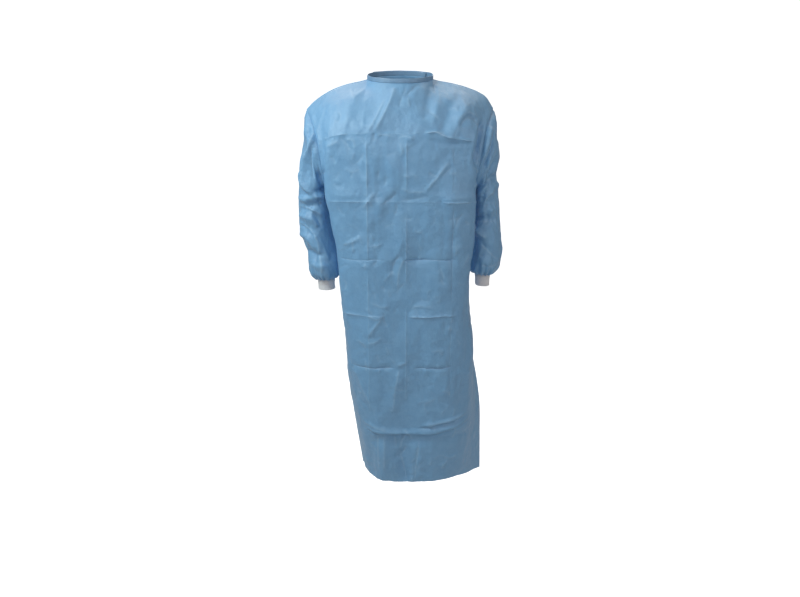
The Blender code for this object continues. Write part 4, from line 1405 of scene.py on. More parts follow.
@dataclass(frozen=True)
class RibKnit:
    """Finish: white knitted rib, with a V of yarn for each stitch and painted shade in the grooves between
    the yarns.
    """

    name: str = "cuff_knit"
    colour: Triple = (0.86, 0.87, 0.89)
    # A darker colour painted into the grooves between the yarns as shade.
    groove_painted_shade: Triple = (0.62, 0.65, 0.70)
    stitch_width: float = 0.00115
    stitch_height: float = 0.00095
    sheen: float = 0.35
    bump_depth: float = 0.00025

    def material(self, fibres: FibreGroup) -> Material:
        """Build the material.

        Args:
            fibres: The group of fine fibres.

        Returns:
            The new material.
        """
        material, nodes, shader = new_material(self.name, {"Sheen Weight": self.sheen})
        flat = nodes.add("ShaderNodeUVMap", {"uv_map": "cloth"}).outputs[0]
        parts = nodes.add("ShaderNodeSeparateXYZ", Vector=flat).outputs
        across = nodes.math("FRACT", nodes.math("DIVIDE", parts["X"], self.stitch_width))
        lean = nodes.times(nodes.math("ABSOLUTE", nodes.minus(across, 0.5)), 1.1)
        down = nodes.minus(nodes.math("DIVIDE", parts["Y"], self.stitch_height), lean)
        yarn = nodes.math("SINE", nodes.times(nodes.math("FRACT", down), math.pi))
        fuzz = nodes.add("ShaderNodeGroup", {"node_tree": fibres.tree}, Cloud_Scale=90.0, Fibre_Scale=2400.0)
        mixed = nodes.plus(nodes.times(fuzz.outputs["Fibre"], 0.6), 0.6)
        mixed = nodes.times(yarn, mixed)
        bump = nodes.add("ShaderNodeBump", Height=mixed, Strength=0.8, Distance=self.bump_depth)
        # Base colour: the yarn's crests take the white and the grooves between them take the painted shade,
        # mixed with the random tone of the fibres.
        nodes.fill(shader, {
            "Base Color": nodes.mix(mixed, self.groove_painted_shade, self.colour), "Normal": bump.outputs[0],
            "Roughness": nodes.minus(0.96, nodes.times(yarn, 0.1))})
        return material


@dataclass(frozen=True)
class Thread:
    """Finish: spun polyester sewing thread."""

    name: str
    colour: Triple
    twist: float = 2600.0
    sheen: float = 0.2

    def material(self) -> Material:
        """Build the material.

        Returns:
            The new material.
        """
        material, nodes, shader = new_material(self.name, {"Sheen Weight": self.sheen})
        place = nodes.add("ShaderNodeTexCoord").outputs["Object"]
        ply = nodes.add("ShaderNodeTexNoise", Vector=place, Scale=self.twist, Detail=2.0).outputs["Fac"]
        dark = tuple(0.72 * part for part in self.colour)
        nodes.fill(shader, {"Base Color": nodes.mix(ply, dark, self.colour),
                            "Roughness": nodes.plus(nodes.times(ply, 0.2), 0.45)})
        return material


@dataclass(frozen=True)
class Finishes:
    """Every finish of the gown, built once."""

    cloth: Material
    band: Material
    knit: Material
    thread: Material
    band_thread: Material
    white_thread: Material

    @classmethod
    def build(cls) -> "Finishes":
        """Make the materials and the groups that they share.

        Returns:
            The finishes.
        """
        groups = FibreGroup(), BondGroup(), CrumpleGroup()
        band = BondedCloth(name="binding_cloth", colour=(0.150, 0.305, 0.500), pale=(0.175, 0.335, 0.535),
                           deep=(0.110, 0.245, 0.420), sheen=0.10, roughness=0.52, dent_depth=0.0003)
        return cls(
            cloth=BondedCloth().material(*groups),
            band=band.material(*groups),
            knit=RibKnit().material(groups[0]),
            thread=Thread("seam_thread", (0.17, 0.37, 0.61)).material(),
            band_thread=Thread("binding_thread", (0.20, 0.36, 0.56)).material(),
            white_thread=Thread("cuff_thread", (0.66, 0.70, 0.76)).material(),
        )


class LineTree:
    """A Geometry Nodes tree that makes something along lines."""

    def __init__(self, name: str, sizes: dict[str, float]) -> None:
        """Start the tree with a curve of even steps along each line.

        Args:
            name: Its name.
            sizes: The default of each number input, by name.
        """
        self.tree = bpy.data.node_groups.new(name, "GeometryNodeTree")
        new_socket = self.tree.interface.new_socket
        new_socket(name="Geometry", in_out="INPUT", socket_type="NodeSocketGeometry")
        for label, value in sizes.items():
            new_socket(name=label, in_out="INPUT", socket_type="NodeSocketFloat").default_value = value
        new_socket(name="Material", in_out="INPUT", socket_type="NodeSocketMaterial")
        new_socket(name="Geometry", in_out="OUTPUT", socket_type="NodeSocketGeometry")
        self.nodes = NodeTree(self.tree)
        self.given = self.nodes.add("NodeGroupInput").outputs
        path = self.nodes.add("GeometryNodeMeshToCurve", Mesh=self.given["Geometry"])
        self.curve = self.nodes.add("GeometryNodeResampleCurve", {"mode": "LENGTH"}, Curve=path.outputs[0],
                                    Length=self.given["Step"]).outputs[0]

    def finish(self, geometry: Socket) -> None:
        """End the tree with the geometry as a real mesh, smooth and in its material.

        Args:
            geometry: The geometry that the tree has made.
        """
        for kind, values in (("RealizeInstances", {}), ("SetShadeSmooth", {}),
                             ("SetMaterial", {"Material": self.given["Material"]})):
            geometry = self.nodes.add("GeometryNode" + kind, Geometry=geometry, **values).outputs[0]
        self.nodes.add("NodeGroupOutput", Geometry=geometry)

    def run(self, name: str, lines: list[Array], **values: object) -> Piece:
        """Run the tree on lines and keep the result as a plain mesh.

        Args:
            name: The new piece's name.
            lines: The points of each line.
            **values: The value of each of the tree's inputs.

        Returns:
            The piece, with no modifier left on it.
        """
        mesh = bpy.data.meshes.new(name + "_lines")
        edges, start = [], 0
        for line in lines:
            edges += [(start + index, start + index + 1) for index in range(len(line) - 1)]
            start += len(line)
        mesh.from_pydata(np.concatenate(lines).tolist(), edges, [])
        draft = new_object(name + "_lines", mesh)
        modifier = draft.modifiers.new("made", "NODES")
        modifier.node_group = self.tree
        for item in self.tree.interface.items_tree:
            if item.item_type == "SOCKET" and item.in_out == "INPUT" and item.name in values:
                modifier[item.identifier] = values[item.name]
        depsgraph = bpy.context.evaluated_depsgraph_get()
        made = bpy.data.meshes.new_from_object(draft.evaluated_get(depsgraph), depsgraph=depsgraph)
        made.name = name
        draft.modifiers.remove(modifier)
        bpy.data.objects.remove(draft, do_unlink=True)
        return new_object(name, made)


class StitchTree(LineTree):
    """Geometry Nodes tree: a stitch of thread at even steps along a line."""

    def __init__(self) -> None:
        """Build the tree once."""
        super().__init__("stitch_run", {"Step": 0.003, "Length": 0.0022, "Radius": 0.0002})
        nodes, given = self.nodes, self.given
        bead = nodes.add("GeometryNodeMeshUVSphere", Segments=6, Rings=5, Radius=1.0)
        size = nodes.add("ShaderNodeCombineXYZ", X=given["Radius"], Y=given["Radius"],
                         Z=nodes.times(given["Length"], 0.5))
        stitch = nodes.add("GeometryNodeTransform", Geometry=bead.outputs["Mesh"], Scale=size.outputs[0])
        along = nodes.add("GeometryNodeInputTangent")
        turn = nodes.add("FunctionNodeAlignRotationToVector", {"axis": "Z"}, Vector=along.outputs[0])
        spread = nodes.add("FunctionNodeRandomValue", {"data_type": "FLOAT"})
        nodes.fill(spread, {2: 0.85, 3: 1.1, "Seed": 7})
        row = nodes.add("GeometryNodeInstanceOnPoints", Points=self.curve, Instance=stitch.outputs[0],
                        Rotation=turn.outputs[0], Scale=spread.outputs[1])
        self.finish(row.outputs[0])


class RibTree(LineTree):
    """Geometry Nodes tree: a round rib of yarn swept along each line."""

    def __init__(self) -> None:
        """Build the tree once."""
        super().__init__("rib_sweep", {"Step": 0.0012, "Radius": 0.0006})
        outline = self.nodes.add("GeometryNodeCurvePrimitiveCircle", {"mode": "RADIUS"}, Resolution=8,
                                 Radius=self.given["Radius"])
        swept = self.nodes.add("GeometryNodeCurveToMesh", Curve=self.curve, Profile_Curve=outline.outputs[0],
                               Fill_Caps=True)
        self.finish(swept.outputs[0])


@dataclass(frozen=True)
class PanelLayout:
    """Where a panel's rows and columns run, so that the folds of its packing lie on them."""

    form: BodyForm
    face: Face
    row_step: float = 0.0036
    columns: int = 184
    beside: tuple[float, ...] = (-0.0036, -0.0016, -0.0006, 0.0, 0.0006, 0.0016, 0.0036)
    share_width: float = 0.27
    settle: Pair = (-0.140, -0.060)
    waver: tuple[Pair, ...] = ((0.045, 0.0018), (0.015, 0.0009))
    waver_reach: float = 0.024
    blur: float = 0.0005
    edge_width: float = 0.0024
    edge_rise: float = 0.62
    fade_across: float = 0.022
    fade_upright: float = 0.04
    fold_clear: float = 1.4
    fixed_clear: float = 0.005
    fixed_gap: float = 1.1
    probe_share: float = 0.95
    probes: int = 77
    fold_spread: float = 0.3
    waver_seed: float = 3.1
    patchiness: float = 0.45
    patch_size: float = 0.05
    slope_rise: float = 0.75
    # The width and the full rise of the fold lines' paler fibres and painted highlight.
    pale_and_highlight_width: float = 0.0012
    full_pale_and_highlight_rise: float = 0.0022

    def levels(self) -> Array:
        """Heights of the rows: even, and closer together at each fold across the panel.

        Returns:
            The heights, from the hem up.
        """
        folds = np.unique(FOLDS_ACROSS[self.face]["height"])
        count = round((self.form.top - self.form.hem) / self.row_step)
        even = np.linspace(self.form.hem, self.form.top, count + 1)
        gap = np.abs(even[:, None] - folds[None]).min(axis=1)
        return np.sort(np.concatenate([even[gap > self.fold_clear * abs(self.beside[0])],
                                       (folds[:, None] + np.array(self.beside)[None]).ravel()]))

    def fold_shares(self, levels: Array) -> Array:
        """The share across at which each upright fold lies.

        Args:
            levels: The heights of the rows.

        Returns:
            A share for each row and fold.
        """
        fold_x = np.unique(FOLDS_UPRIGHT[self.face]["x"])
        shares = np.linspace(-self.probe_share, self.probe_share, self.probes)
        x = self.form.points(self.face, *np.meshgrid(levels, shares, indexing="ij"))[..., 0]
        return np.array([np.interp(fold_x, np.maximum.accumulate(row), shares) for row in x])

    def column_shares(self, usual: Array) -> Array:
        """The usual shares of the columns: even, closer together at each fold, and one at each fixed place.

        Args:
            usual: The usual share of each upright fold.

        Returns:
            The shares, from right to left.
        """
        even = np.linspace(-1.0, 1.0, self.columns + 1)
        beside = np.array(self.beside) / self.share_width
        neck, lap = self.form.neck_share, self.form.lap_share
        fixed = np.array([-neck, neck, -lap, lap])
        gap = np.abs(even[:, None] - usual[None]).min(axis=1)
        from_fixed = np.abs(even[:, None] - fixed[None]).min(axis=1)
        even = even[(gap > self.fold_clear * abs(beside[0])) & (from_fixed > self.fixed_clear)]
        clear = fixed[np.abs(fixed[:, None] - usual[None]).min(axis=1) > self.fixed_gap * abs(beside[0])]
        return np.unique(np.concatenate([even, clear, (usual[:, None] + beside[None]).ravel()]))

    def drifted(self, levels: Array, spots: Array) -> Array:
        """The height of each point, so that the folds across waver and sag.

        Args:
            levels: The heights of the rows.
            spots: The panel's plain points, rows by columns by 3.

        Returns:
            A height for each point.
        """
        heights = np.repeat(levels[:, None], spots.shape[1], axis=1)
        for index, fold in enumerate(np.unique(FOLDS_ACROSS[self.face]["height"])):
            apart = np.full(spots.shape[1], index * self.fold_spread)
            line = np.stack([spots[0, :, 0], apart, spots[0, :, 1]], axis=-1)
            drift = sum(unevenness(line, wavelength, self.waver_seed + index) * size
                        for wavelength, size in self.waver)
            for height, start, end, drop in FOLD_SAGS[self.face]:
                drift = drift - drop * ease(line[:, 0], start, end) * (abs(height - fold) < self.waver_reach)
            heights = heights + drift[None] * bell(levels - fold, self.waver_reach)[:, None]
        return np.clip(heights, self.form.hem, self.form.top)

    def grid(self) -> tuple[Array, Array, Array, Array]:
        """Lay the panel out.

        Returns:
            The panel's plain points, rows by columns by 3, the levels of its rows, the shares of its columns
            and the usual share of each upright fold.
        """
        levels = self.levels()
        found = self.fold_shares(levels)
        usual = np.median(found, axis=0)
        shares_at = found + ease(levels, *self.settle)[:, None] * (usual[None] - found)
        reference = self.column_shares(usual)
        kept = [] if self.face is Face.FRONT else [-self.form.lap_share, self.form.lap_share]
        ends = np.array([-1.0, *kept, 1.0])
        before = np.concatenate([ends, usual])
        order = np.argsort(before)
        shares = np.array([np.interp(reference, before[order], np.concatenate([ends, row])[order])
                           for row in shares_at])
        spots = self.form.points(self.face, np.repeat(levels[:, None], len(reference), axis=1), shares)
        return self.form.points(self.face, self.drifted(levels, spots), shares), levels, reference, usual

    def fold_rise(self, points: Array, levels: Array, reference: Array, usual: Array) -> tuple[Array, Array]:
        """The rise of the packing's folds, and their mark of paler fibres and painted highlight.

        Args:
            points: The panel's plain points.
            levels: The heights of its rows.
            reference: The shares of its columns.
            usual: The share of each upright fold.

        Returns:
            How far each point is lifted, and how sharply the cloth is folded there as the mask of paler
            fibres and painted highlight.
        """
        folds = []
        for height, start, end, lift, reach in zip(*FOLDS_ACROSS[self.face].values()):
            fade, x = self.fade_across, points[..., 0]
            there = ease(x, start, start + fade) * (1 - ease(x, end - fade, end))
            folds.append(((levels - height)[:, None], there, lift, reach))
        fold_x = np.unique(FOLDS_UPRIGHT[self.face]["x"])
        for x, start, end, lift, reach in zip(*FOLDS_UPRIGHT[self.face].values()):
            fade, share = self.fade_upright, usual[int(np.argmin(np.abs(fold_x - x)))]
            there = ease(levels, start, start + fade) * (1 - ease(levels, end - fade, end))
            folds.append((((reference - share) * self.share_width)[None], there[:, None], lift, reach))
        rise, mark = np.zeros(points.shape[:2]), np.zeros(points.shape[:2])
        patch = 1.0 + self.patchiness * unevenness(points, self.patch_size, 9.0)
        for gap, there, lift, reach in folds:
            rise += lift * self.crest(gap, reach) * there * patch
            # Each fold line is marked with paler fibres and a painted highlight.
            line = bell(gap, self.pale_and_highlight_width) * there * patch
            mark = np.maximum(mark, line * min(1.0, abs(lift) / self.full_pale_and_highlight_rise))
        return rise, mark

    def crest(self, gap: Array, reach: float) -> Array:
        """The cross-section of a fold of the pack: wide slopes with a sharp edge on top."""
        away = np.sqrt(gap**2 + self.blur**2) - self.blur
        return self.slope_rise * np.exp(-away / reach) + self.edge_rise * np.exp(-away / self.edge_width)


@dataclass(frozen=True)
class BodyGrids:
    """The finished grids of the body before its seam allowances, and where their columns lie.

    The back is one grid, and raised is the same grid as its outer layer. Under and over say which of its
    columns the under and the outer half have.
    """

    front: Array
    back: Array
    raised: Array
    shares: Array
    back_shares: Array
    under: Array
    over: Array


@dataclass(frozen=True)
class Body:
    """The front and the two halves of the wrapped back."""

    form: BodyForm
    finishes: Finishes
    thickness: float = 0.0005
    seam_turn: float = 0.0035
    seam_groove: float = 0.0006
    seam_reach: float = 0.0060
    seam_clear: float = 0.00015
    seam_swell: float = 0.0020
    facet_sizes: tuple[Pair, ...] = ((0.060, 0.0036), (0.027, 0.0026), (0.013, 0.0013))
    upright: float = 0.62
    patch: Pair = (0.6, 0.4)
    patch_size: float = 0.10
    billow: float = 0.0014
    billow_size: float = 0.075
    billow_upright: float = 0.45
    side_share: float = 0.06
    top_reach: float = 0.022
    pucker_size: float = 0.009
    pucker_rise: float = 0.0005
    pucker_depth: float = 0.25
    pucker_at: float = 0.009
    pucker_start: float = 0.004
    swell_at: float = 0.010
    swell_width: float = 0.008
    swell_start: float = 0.006
    sleeved: Pair = (0.06, 0.05)
    groove_parts: Pair = (0.35, 0.65)
    groove_edge: float = 0.003
    lap_spare: float = 0.003
    lap_step: float = 0.0036
    lap_fade: Pair = (0.27, 0.49)
    front_cut: Pair = (0.66, 1.19)
    back_cut: Pair = (0.38, 1.21)

    def surface(self, face: Face) -> tuple[Array, Array, Array]:
        """The creased surface of the front, or of the back as if it were one piece.

        Args:
            face: The front or the back.

        Returns:
            Its points, its marks and its columns' shares.
        """
        layout = PanelLayout(self.form, face)
        points, levels, reference, usual = layout.grid()
        rise, mark = layout.fold_rise(points, levels, reference, usual)
        seed = 11 if face is Face.FRONT else 23
        hand_laid = FRONT_CREASES if face is Face.FRONT else BACK_CREASES
        for creases_of in (hand_laid, {Crest.SHARP: StrewnCreases(seed).table()}):
            creased, creased_mark = CreaseField(creases_of).measure(points[..., 0], points[..., 2])
            rise, mark = rise + creased, np.maximum(mark, creased_mark)
        spots = flat_map(points) * (1.0, self.upright)
        patch = self.patch[0] + self.patch[1] * unevenness(points, self.patch_size, 4.0)
        for index, (size, height) in enumerate(self.facet_sizes):
            rise = rise + height * facets(spots, size, seed + index) * (patch if index else 1.0)
        upright = points * (1.0, 1.0, self.billow_upright)
        rise = rise + self.billow * unevenness(upright, self.billow_size, 6.0)
        inside = (ease(1.0 - np.abs(reference), 0.0, self.side_share)[None]
                  * ease(-levels, self.form.top, self.form.top + self.top_reach)[:, None])
        grid = points + normals(points) * (rise * inside)[..., None]
        return self.seams_pressed(grid, face, levels, reference), mark * inside, reference

    def seams_pressed(self, grid: Array, face: Face, levels: Array, reference: Array) -> Array:
        """Press a soft groove and puckers into the surface along its side seams, armholes and shoulders.

        Args:
            grid: The panel's points.
            face: The front or the back.
            levels: The heights of its rows.
            reference: The shares of its columns.

        Returns:
            The points with the seams.
        """
        from_side = np.minimum(lengths(grid, 1), lengths(grid[:, ::-1], 1)[:, ::-1])
        on_shoulder = np.abs(reference)[None] > self.form.neck_share
        gap = np.minimum(from_side, np.where(on_shoulder, lengths(grid[::-1])[::-1], 1.0))
        pucker = unevenness(grid, self.pucker_size, 2.0 if face is Face.FRONT else 8.0)
        drop = self.seam_groove * np.exp(-gap / self.seam_reach) * (1.0 + self.pucker_depth * pucker)
        near = bell(gap - self.pucker_at, self.pucker_at) * ease(gap, 0.0, self.pucker_start)
        swell = self.pucker_rise * pucker * near
        underarm, (low, high) = self.form.underarm, self.sleeved
        sleeved = ease(levels, underarm, underarm + low) * (1.0 - ease(levels, -high, 0.0))
        beside = bell(from_side - self.swell_at, self.swell_width) * ease(gap, 0.0, self.swell_start)
        swell += self.seam_swell * sleeved[:, None] * beside
        wide, narrow = self.groove_parts
        drop = drop * (wide + narrow * np.exp(-gap / self.groove_edge))
        return grid + normals(grid) * (swell - drop)[..., None]

    def turned_in(self, grid: Array, mark: Array, first: bool, last: bool) -> tuple[Array, Array]:
        """The grid with a seam allowance turned inwards at its first or last column.

        Args:
            grid: The panel's points.
            mark: Its creases' marks.
            first: Whether the first column is a seam.
            last: Whether the last column is a seam.

        Returns:
            The points and marks with a column added at each seam.
        """
        facing = normals(grid)
        if first:
            grid, mark = self.allowance(grid, mark, facing[:, 0])
        if last:
            turned = self.allowance(grid[:, ::-1], mark[:, ::-1], facing[:, -1])
            grid, mark = (part[:, ::-1] for part in turned)
        lower, upper = set_in(grid[0], grid[1]), set_in(grid[-1], grid[-2])
        grid = np.concatenate([grid[:1], lower[None], grid[1:-1], upper[None], grid[-1:]])
        return grid, np.concatenate([mark[:1], mark[:1], mark[1:-1], mark[-1:], mark[-1:]])

    def allowance(self, grid: Array, mark: Array, facing: Array) -> tuple[Array, Array]:
        """The grid with a seam allowance before its first column.

        Args:
            grid: The panel's points.
            mark: Its creases' marks.
            facing: The unit normals of the first column.

        Returns:
            The points and marks with the new columns.
        """
        seam = seam_edge(grid[:, 0], grid[:, 1], facing, self.seam_clear, self.seam_turn)
        return (np.concatenate([seam.transpose(1, 0, 2), grid[:, 1:]], axis=1),
                np.concatenate([mark[:, :1], mark[:, :1], mark], axis=1))

    def build(self) -> BodyGrids:
        """Returns:
            The grids that the seams and the neck binding are laid on.
        """
        grid, mark, shares = self.surface(Face.FRONT)
        self.panel("front_cloth", grid, mark, True, True, "front_panel")
        back, back_mark, back_shares = self.surface(Face.BACK)
        rise = self.lap_step * (1.0 - ease(back_shares, *self.lap_fade))
        raised = back + normals(back) * rise[None, :, None]
        under = back_shares <= self.form.lap_share + self.lap_spare
        over = back_shares >= -self.form.lap_share - self.lap_spare
        self.panel("back_cloth_right", back[:, under], back_mark[:, under], True, False, "back_panel_right")
        self.panel("back_cloth_left", raised[:, over], back_mark[:, over], False, True, "back_panel_left")
        return BodyGrids(grid, back, raised, shares, back_shares, under, over)

    def panel(self, name: str, grid: Array, mark: Array, first: bool, last: bool, node: str) -> None:
        """Make one panel, in place of its solid.

        Args:
            name: The piece's name.
            grid: Its points.
            mark: Its creases' marks.
            first: Whether its first column is a seam.
            last: Whether its last column is a seam.
            node: The solid that it stands for.
        """
        whole, whole_mark = self.turned_in(grid, mark, first, last)
        piece = ClothShell(name, whole, self.thickness, self.finishes.cloth, whole_mark).build()
        dress(piece, "gown_cloth", node)


def dress(piece: Piece, slot: str, *nodes: str) -> None:
    """Let a piece ride on the one body and put it in place of its solids.

    Args:
        piece: The piece.
        slot: Not used.
        *nodes: The solids that it stands for.
    """
    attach(piece, "root")
    if nodes:
        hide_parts(*nodes)
    LOG.info("%s: %d faces", piece.name, len(piece.data.polygons))


@dataclass(frozen=True)
class Sleeve:
    """One set-in sleeve, from the armhole to the gathered seam of its cuff."""

    side: Side
    form: BodyForm
    finishes: Finishes
    rings: int = 181
    points_round: int = 150
    half_girth: float = 0.19
    gathers: tuple[Triple, ...] = ((14, 0.0022, 0.060), (31, 0.0011, 0.030), (47, 0.0006, 0.016))
    gather_start: float = 0.012
    gather_sways: tuple[Pair, ...] = ((0.5, 2), (0.35, 5))
    gather_lengths: Triple = (0.7, 0.5, 1.5)
    gather_fade: float = 0.35
    thickness: float = 0.0005
    seam_groove: float = 0.0006
    seam_clear: float = 0.00015
    seam_turn: float = 0.0035
    seam_swell: float = 0.0030
    groove_parts: tuple[Pair, ...] = ((0.004, 0.8), (0.012, 0.3))
    pucker_size: float = 0.009
    pucker_rise: float = 0.0007
    swell_at: float = 0.011
    swell_width: float = 0.009
    swell_start: float = 0.005
    cuff_clear: float = 0.0003
    cuff_turn: float = 0.0025
    billow: float = 0.0012
    billow_size: float = 0.045
    face_reach: float = 0.5
    underarm_share: float = 0.07
    end_reaches: Pair = (0.016, 0.03)
    facet_sizes: tuple[Pair, ...] = ((0.046, 0.0026), (0.024, 0.0028), (0.012, 0.0017))
    upright: float = 0.55
    flat_size: Pair = (0.42, 0.50)

    def turns(self) -> Array:
        """The share of the way round: 0 under the arm, 0.5 in front, 1 outside, -0.5 behind."""
        return np.linspace(-1.0, 1.0, self.points_round, endpoint=False) + 1.0 / self.points_round

    def ring(self, columns: Columns, row: int, turns: Array) -> Array:
        """One closed section of a sleeve or cuff.

        Args:
            columns: The table of its sections.
            row: The section's row.
            turns: The share of the way round of each point.

        Returns:
            A point for each turn.
        """
        angle = np.radians(read(ARMHOLE_FRONT, "turn", self.armhole_heights(turns))[0]) * np.sign(turns)
        y = columns["middle_y"][row]
        inner = np.array([self.side.sign * columns["inner_x"][row], y, columns["inner_z"][row]])
        outer = np.array([self.side.sign * columns["outer_x"][row], y, columns["outer_z"][row]])
        forward = np.array([0.0, -columns["half_depth"][row], 0.0])
        return ((inner + outer) / 2 + np.cos(angle)[:, None] * (inner - outer) / 2
                + np.sin(angle)[:, None] * forward)

    def armhole_heights(self, turns: Array) -> Array:
        """The height on the armhole at each share of the way round."""
        return self.form.underarm + np.abs(turns) * (self.form.top - self.form.underarm)

    def armhole_ring(self, turns: Array) -> Array:
        """The armhole as a closed section.

        Args:
            turns: The share of the way round of each point.

        Returns:
            A point for each turn.
        """
        back, front = (self.form.armhole(self.side, face, self.armhole_heights(turns))
                       for face in (Face.BACK, Face.FRONT))
        return np.where((turns < 0)[:, None], back, front)

    def plain(self) -> tuple[Array, Array]:
        """The sleeve before it is creased.

        Returns:
            Its plain points, rings by points by 3, and how far down each ring is.
        """
        turns = self.turns()
        columns = SLEEVE_SECTIONS[self.side]
        sections = [self.ring(columns, row, turns) for row in range(len(columns["inner_x"]))]
        sections = np.stack([self.armhole_ring(turns)] + sections)
        strides = np.linalg.norm(np.diff(sections, axis=0), axis=-1).mean(axis=1)
        knots = np.concatenate([[0.0], np.cumsum(strides)])
        share = np.linspace(0.0, 1.0, self.rings)
        downs = np.interp(share * (len(knots) - 1), np.arange(len(knots)), knots)
        downs = 0.5 * downs + 0.5 * share * knots[-1]
        return spline(knots, sections, downs), downs

    def creased(self) -> tuple[Array, Array]:
        """The creased sleeve.

        Returns:
            Its points and their marks.
        """
        points, downs = self.plain()
        turns = self.turns()
        left = downs[-1] - downs
        rise, mark = np.zeros(points.shape[:2]), np.zeros(points.shape[:2])
        half = np.sin(math.pi * turns)
        for face, sign in ((Face.FRONT, 1.0), (Face.BACK, -1.0)):
            field = CreaseField(SLEEVE_CREASES[(self.side, face)])
            lift, line = field.measure(np.abs(points[..., 0]), points[..., 2])
            there = ease(sign * half, 0.0, self.face_reach)[None]
            rise += lift * there
            mark = np.maximum(mark, line * there)
        seed = 31 if self.side is Side.RIGHT else 47
        spots = np.stack(np.meshgrid(np.mod(turns, 2.0) * self.half_girth, downs * self.upright), axis=-1)
        seamless = ease(np.abs(turns), 0.0, self.underarm_share)[None]
        for index, (size, height) in enumerate(self.facet_sizes):
            rise = rise + height * facets(spots, size, seed + index) * seamless
        rise = rise + self.billow * unevenness(points, self.billow_size, float(seed))
        ends = (ease(downs, 0.0, self.end_reaches[0]) * ease(left, 0.0, self.end_reaches[1]))[:, None]
        rise = rise * ends + self.gather_rise(turns, left)
        grid = points + normals(points, closed=True) * rise[..., None]
        return self.seam_pressed(grid, downs), mark * ends

    def gather_rise(self, turns: Array, left: Array) -> Array:
        """The waves of cloth that are gathered into the cuff, longer and shorter by turns.

        Args:
            turns: The share of the way round of each column.
            left: How far each ring is from the cuff.

        Returns:
            How far each point is lifted.
        """
        chance = np.random.default_rng(3 if self.side is Side.RIGHT else 4)
        rise = np.zeros((len(left), len(turns)))
        for count, depth, reach in self.gathers:
            phase = chance.uniform(0.0, 2 * math.pi, 3)
            bend = sum(size * np.sin(math.pi * turns * waves + shift)
                       for (size, waves), shift in zip(self.gather_sways, phase[1:]))
            wave = np.sin(math.pi * turns * count + phase[0] + bend)
            least, more, waves = self.gather_lengths
            length = reach * (least + more * np.abs(np.sin(math.pi * turns * waves + phase[1])))
            near = ease(left, 0.0, self.gather_start)[:, None]
            far = 1.0 - ease(left[:, None] / length[None], self.gather_fade, 1.0)
            rise += depth * wave[None] * near * far
        return rise

    def seam_pressed(self, grid: Array, downs: Array) -> Array:
        """Press a soft groove into the surface at the armhole, with puckers beside it.

        Args:
            grid: The sleeve's points.
            downs: How far down each ring is.

        Returns:
            The points with the seam.
        """
        pucker = unevenness(grid, self.pucker_size, 5.0)
        groove = self.seam_groove * sum(np.exp(-downs / reach) * share for reach, share in self.groove_parts)
        beside = bell(downs - self.swell_at, self.swell_width) * ease(downs, 0.0, self.swell_start)
        swell = (self.seam_swell + self.pucker_rise * pucker) * beside[:, None]
        return grid + normals(grid, closed=True) * (swell - groove[:, None])[..., None]

    def build(self) -> Array:
        """Returns:
            Its finished grid, before its seam allowances.
        """
        grid, mark = self.creased()
        facing = normals(grid, closed=True)
        top = seam_edge(grid[0], grid[1], facing[0], self.seam_clear, self.seam_turn)
        end = seam_edge(grid[-1], grid[-2], facing[-1], self.cuff_clear, self.cuff_turn, lean=0.0)
        whole = np.concatenate([top, grid[1:-1], end[::-1]])
        mark = np.concatenate([mark[:1], mark[:1], mark, mark[-1:], mark[-1:]])
        name = "sleeve_cloth_" + self.side.value
        piece = ClothShell(name, whole, self.thickness, self.finishes.cloth, mark, closed=True).build()
        dress(piece, "gown_cloth", "sleeve_" + self.side.value)
        return grid


@dataclass(frozen=True)
class Cuff:
    """A knitted cuff: a tube with raised ribs, which reaches a little way up into the sleeve."""

    sleeve: Sleeve
    ribs: RibTree
    rib_count: int = 62
    rib_radius: float = 0.00075
    thickness: float = 0.0009
    overlap: float = 0.004
    overlap_share: float = 0.94
    flare: float = 0.0007
    flare_size: float = 0.018
    rings: int = 26
    tuck: float = 0.3
    points_per_rib: int = 4
    flat_size: Pair = (0.155, 0.036)

    def tube(self, count: int, outside: float = 0.0) -> Array:
        """Points of the cuff's surface, or of one a little outside it.

        Args:
            count: How many points each ring has.
            outside: How far outside the cuff's middle surface the points are.

        Returns:
            The points, rings by points by 3.
        """
        columns = CUFF_SECTIONS[self.sleeve.side]
        turns = np.linspace(-1.0, 1.0, count, endpoint=False) + 1.0 / count
        sections = np.stack([self.sleeve.ring(columns, row, turns) for row in range(len(columns["inner_x"]))])
        up = unit(sections[0] - sections[1])
        centre = sections[0].mean(axis=0)
        tucked = centre + (sections[0] - centre) * self.overlap_share + up * self.overlap
        sections = np.concatenate([tucked[None], sections])
        grid = spline((-self.tuck, 0.0, 1.0, 2.0), sections, np.linspace(-self.tuck, 2.0, self.rings))
        flare = self.flare * unevenness(grid, self.flare_size, 12.0)
        return grid + normals(grid, closed=True) * (outside + flare)[..., None]

    def build(self) -> None:
        """Make the cuff and its ribs."""
        side = self.sleeve.side.value
        finishes = self.sleeve.finishes
        grid = self.tube(self.points_per_rib * self.rib_count)
        piece = ClothShell("cuff_knit_" + side, grid, self.thickness, finishes.knit, closed=True,
                           stride=1).build()
        outer = self.tube(self.rib_count, self.thickness / 2)
        lines = [outer[:, index] for index in range(self.rib_count)]
        ribs = self.ribs.run("cuff_ribs_" + side, lines, Step=0.0012, Radius=self.rib_radius,
                             Material=finishes.knit)
        dress(piece, "cuff_knit", "cuff_" + side)
        dress(ribs, "cuff_knit")


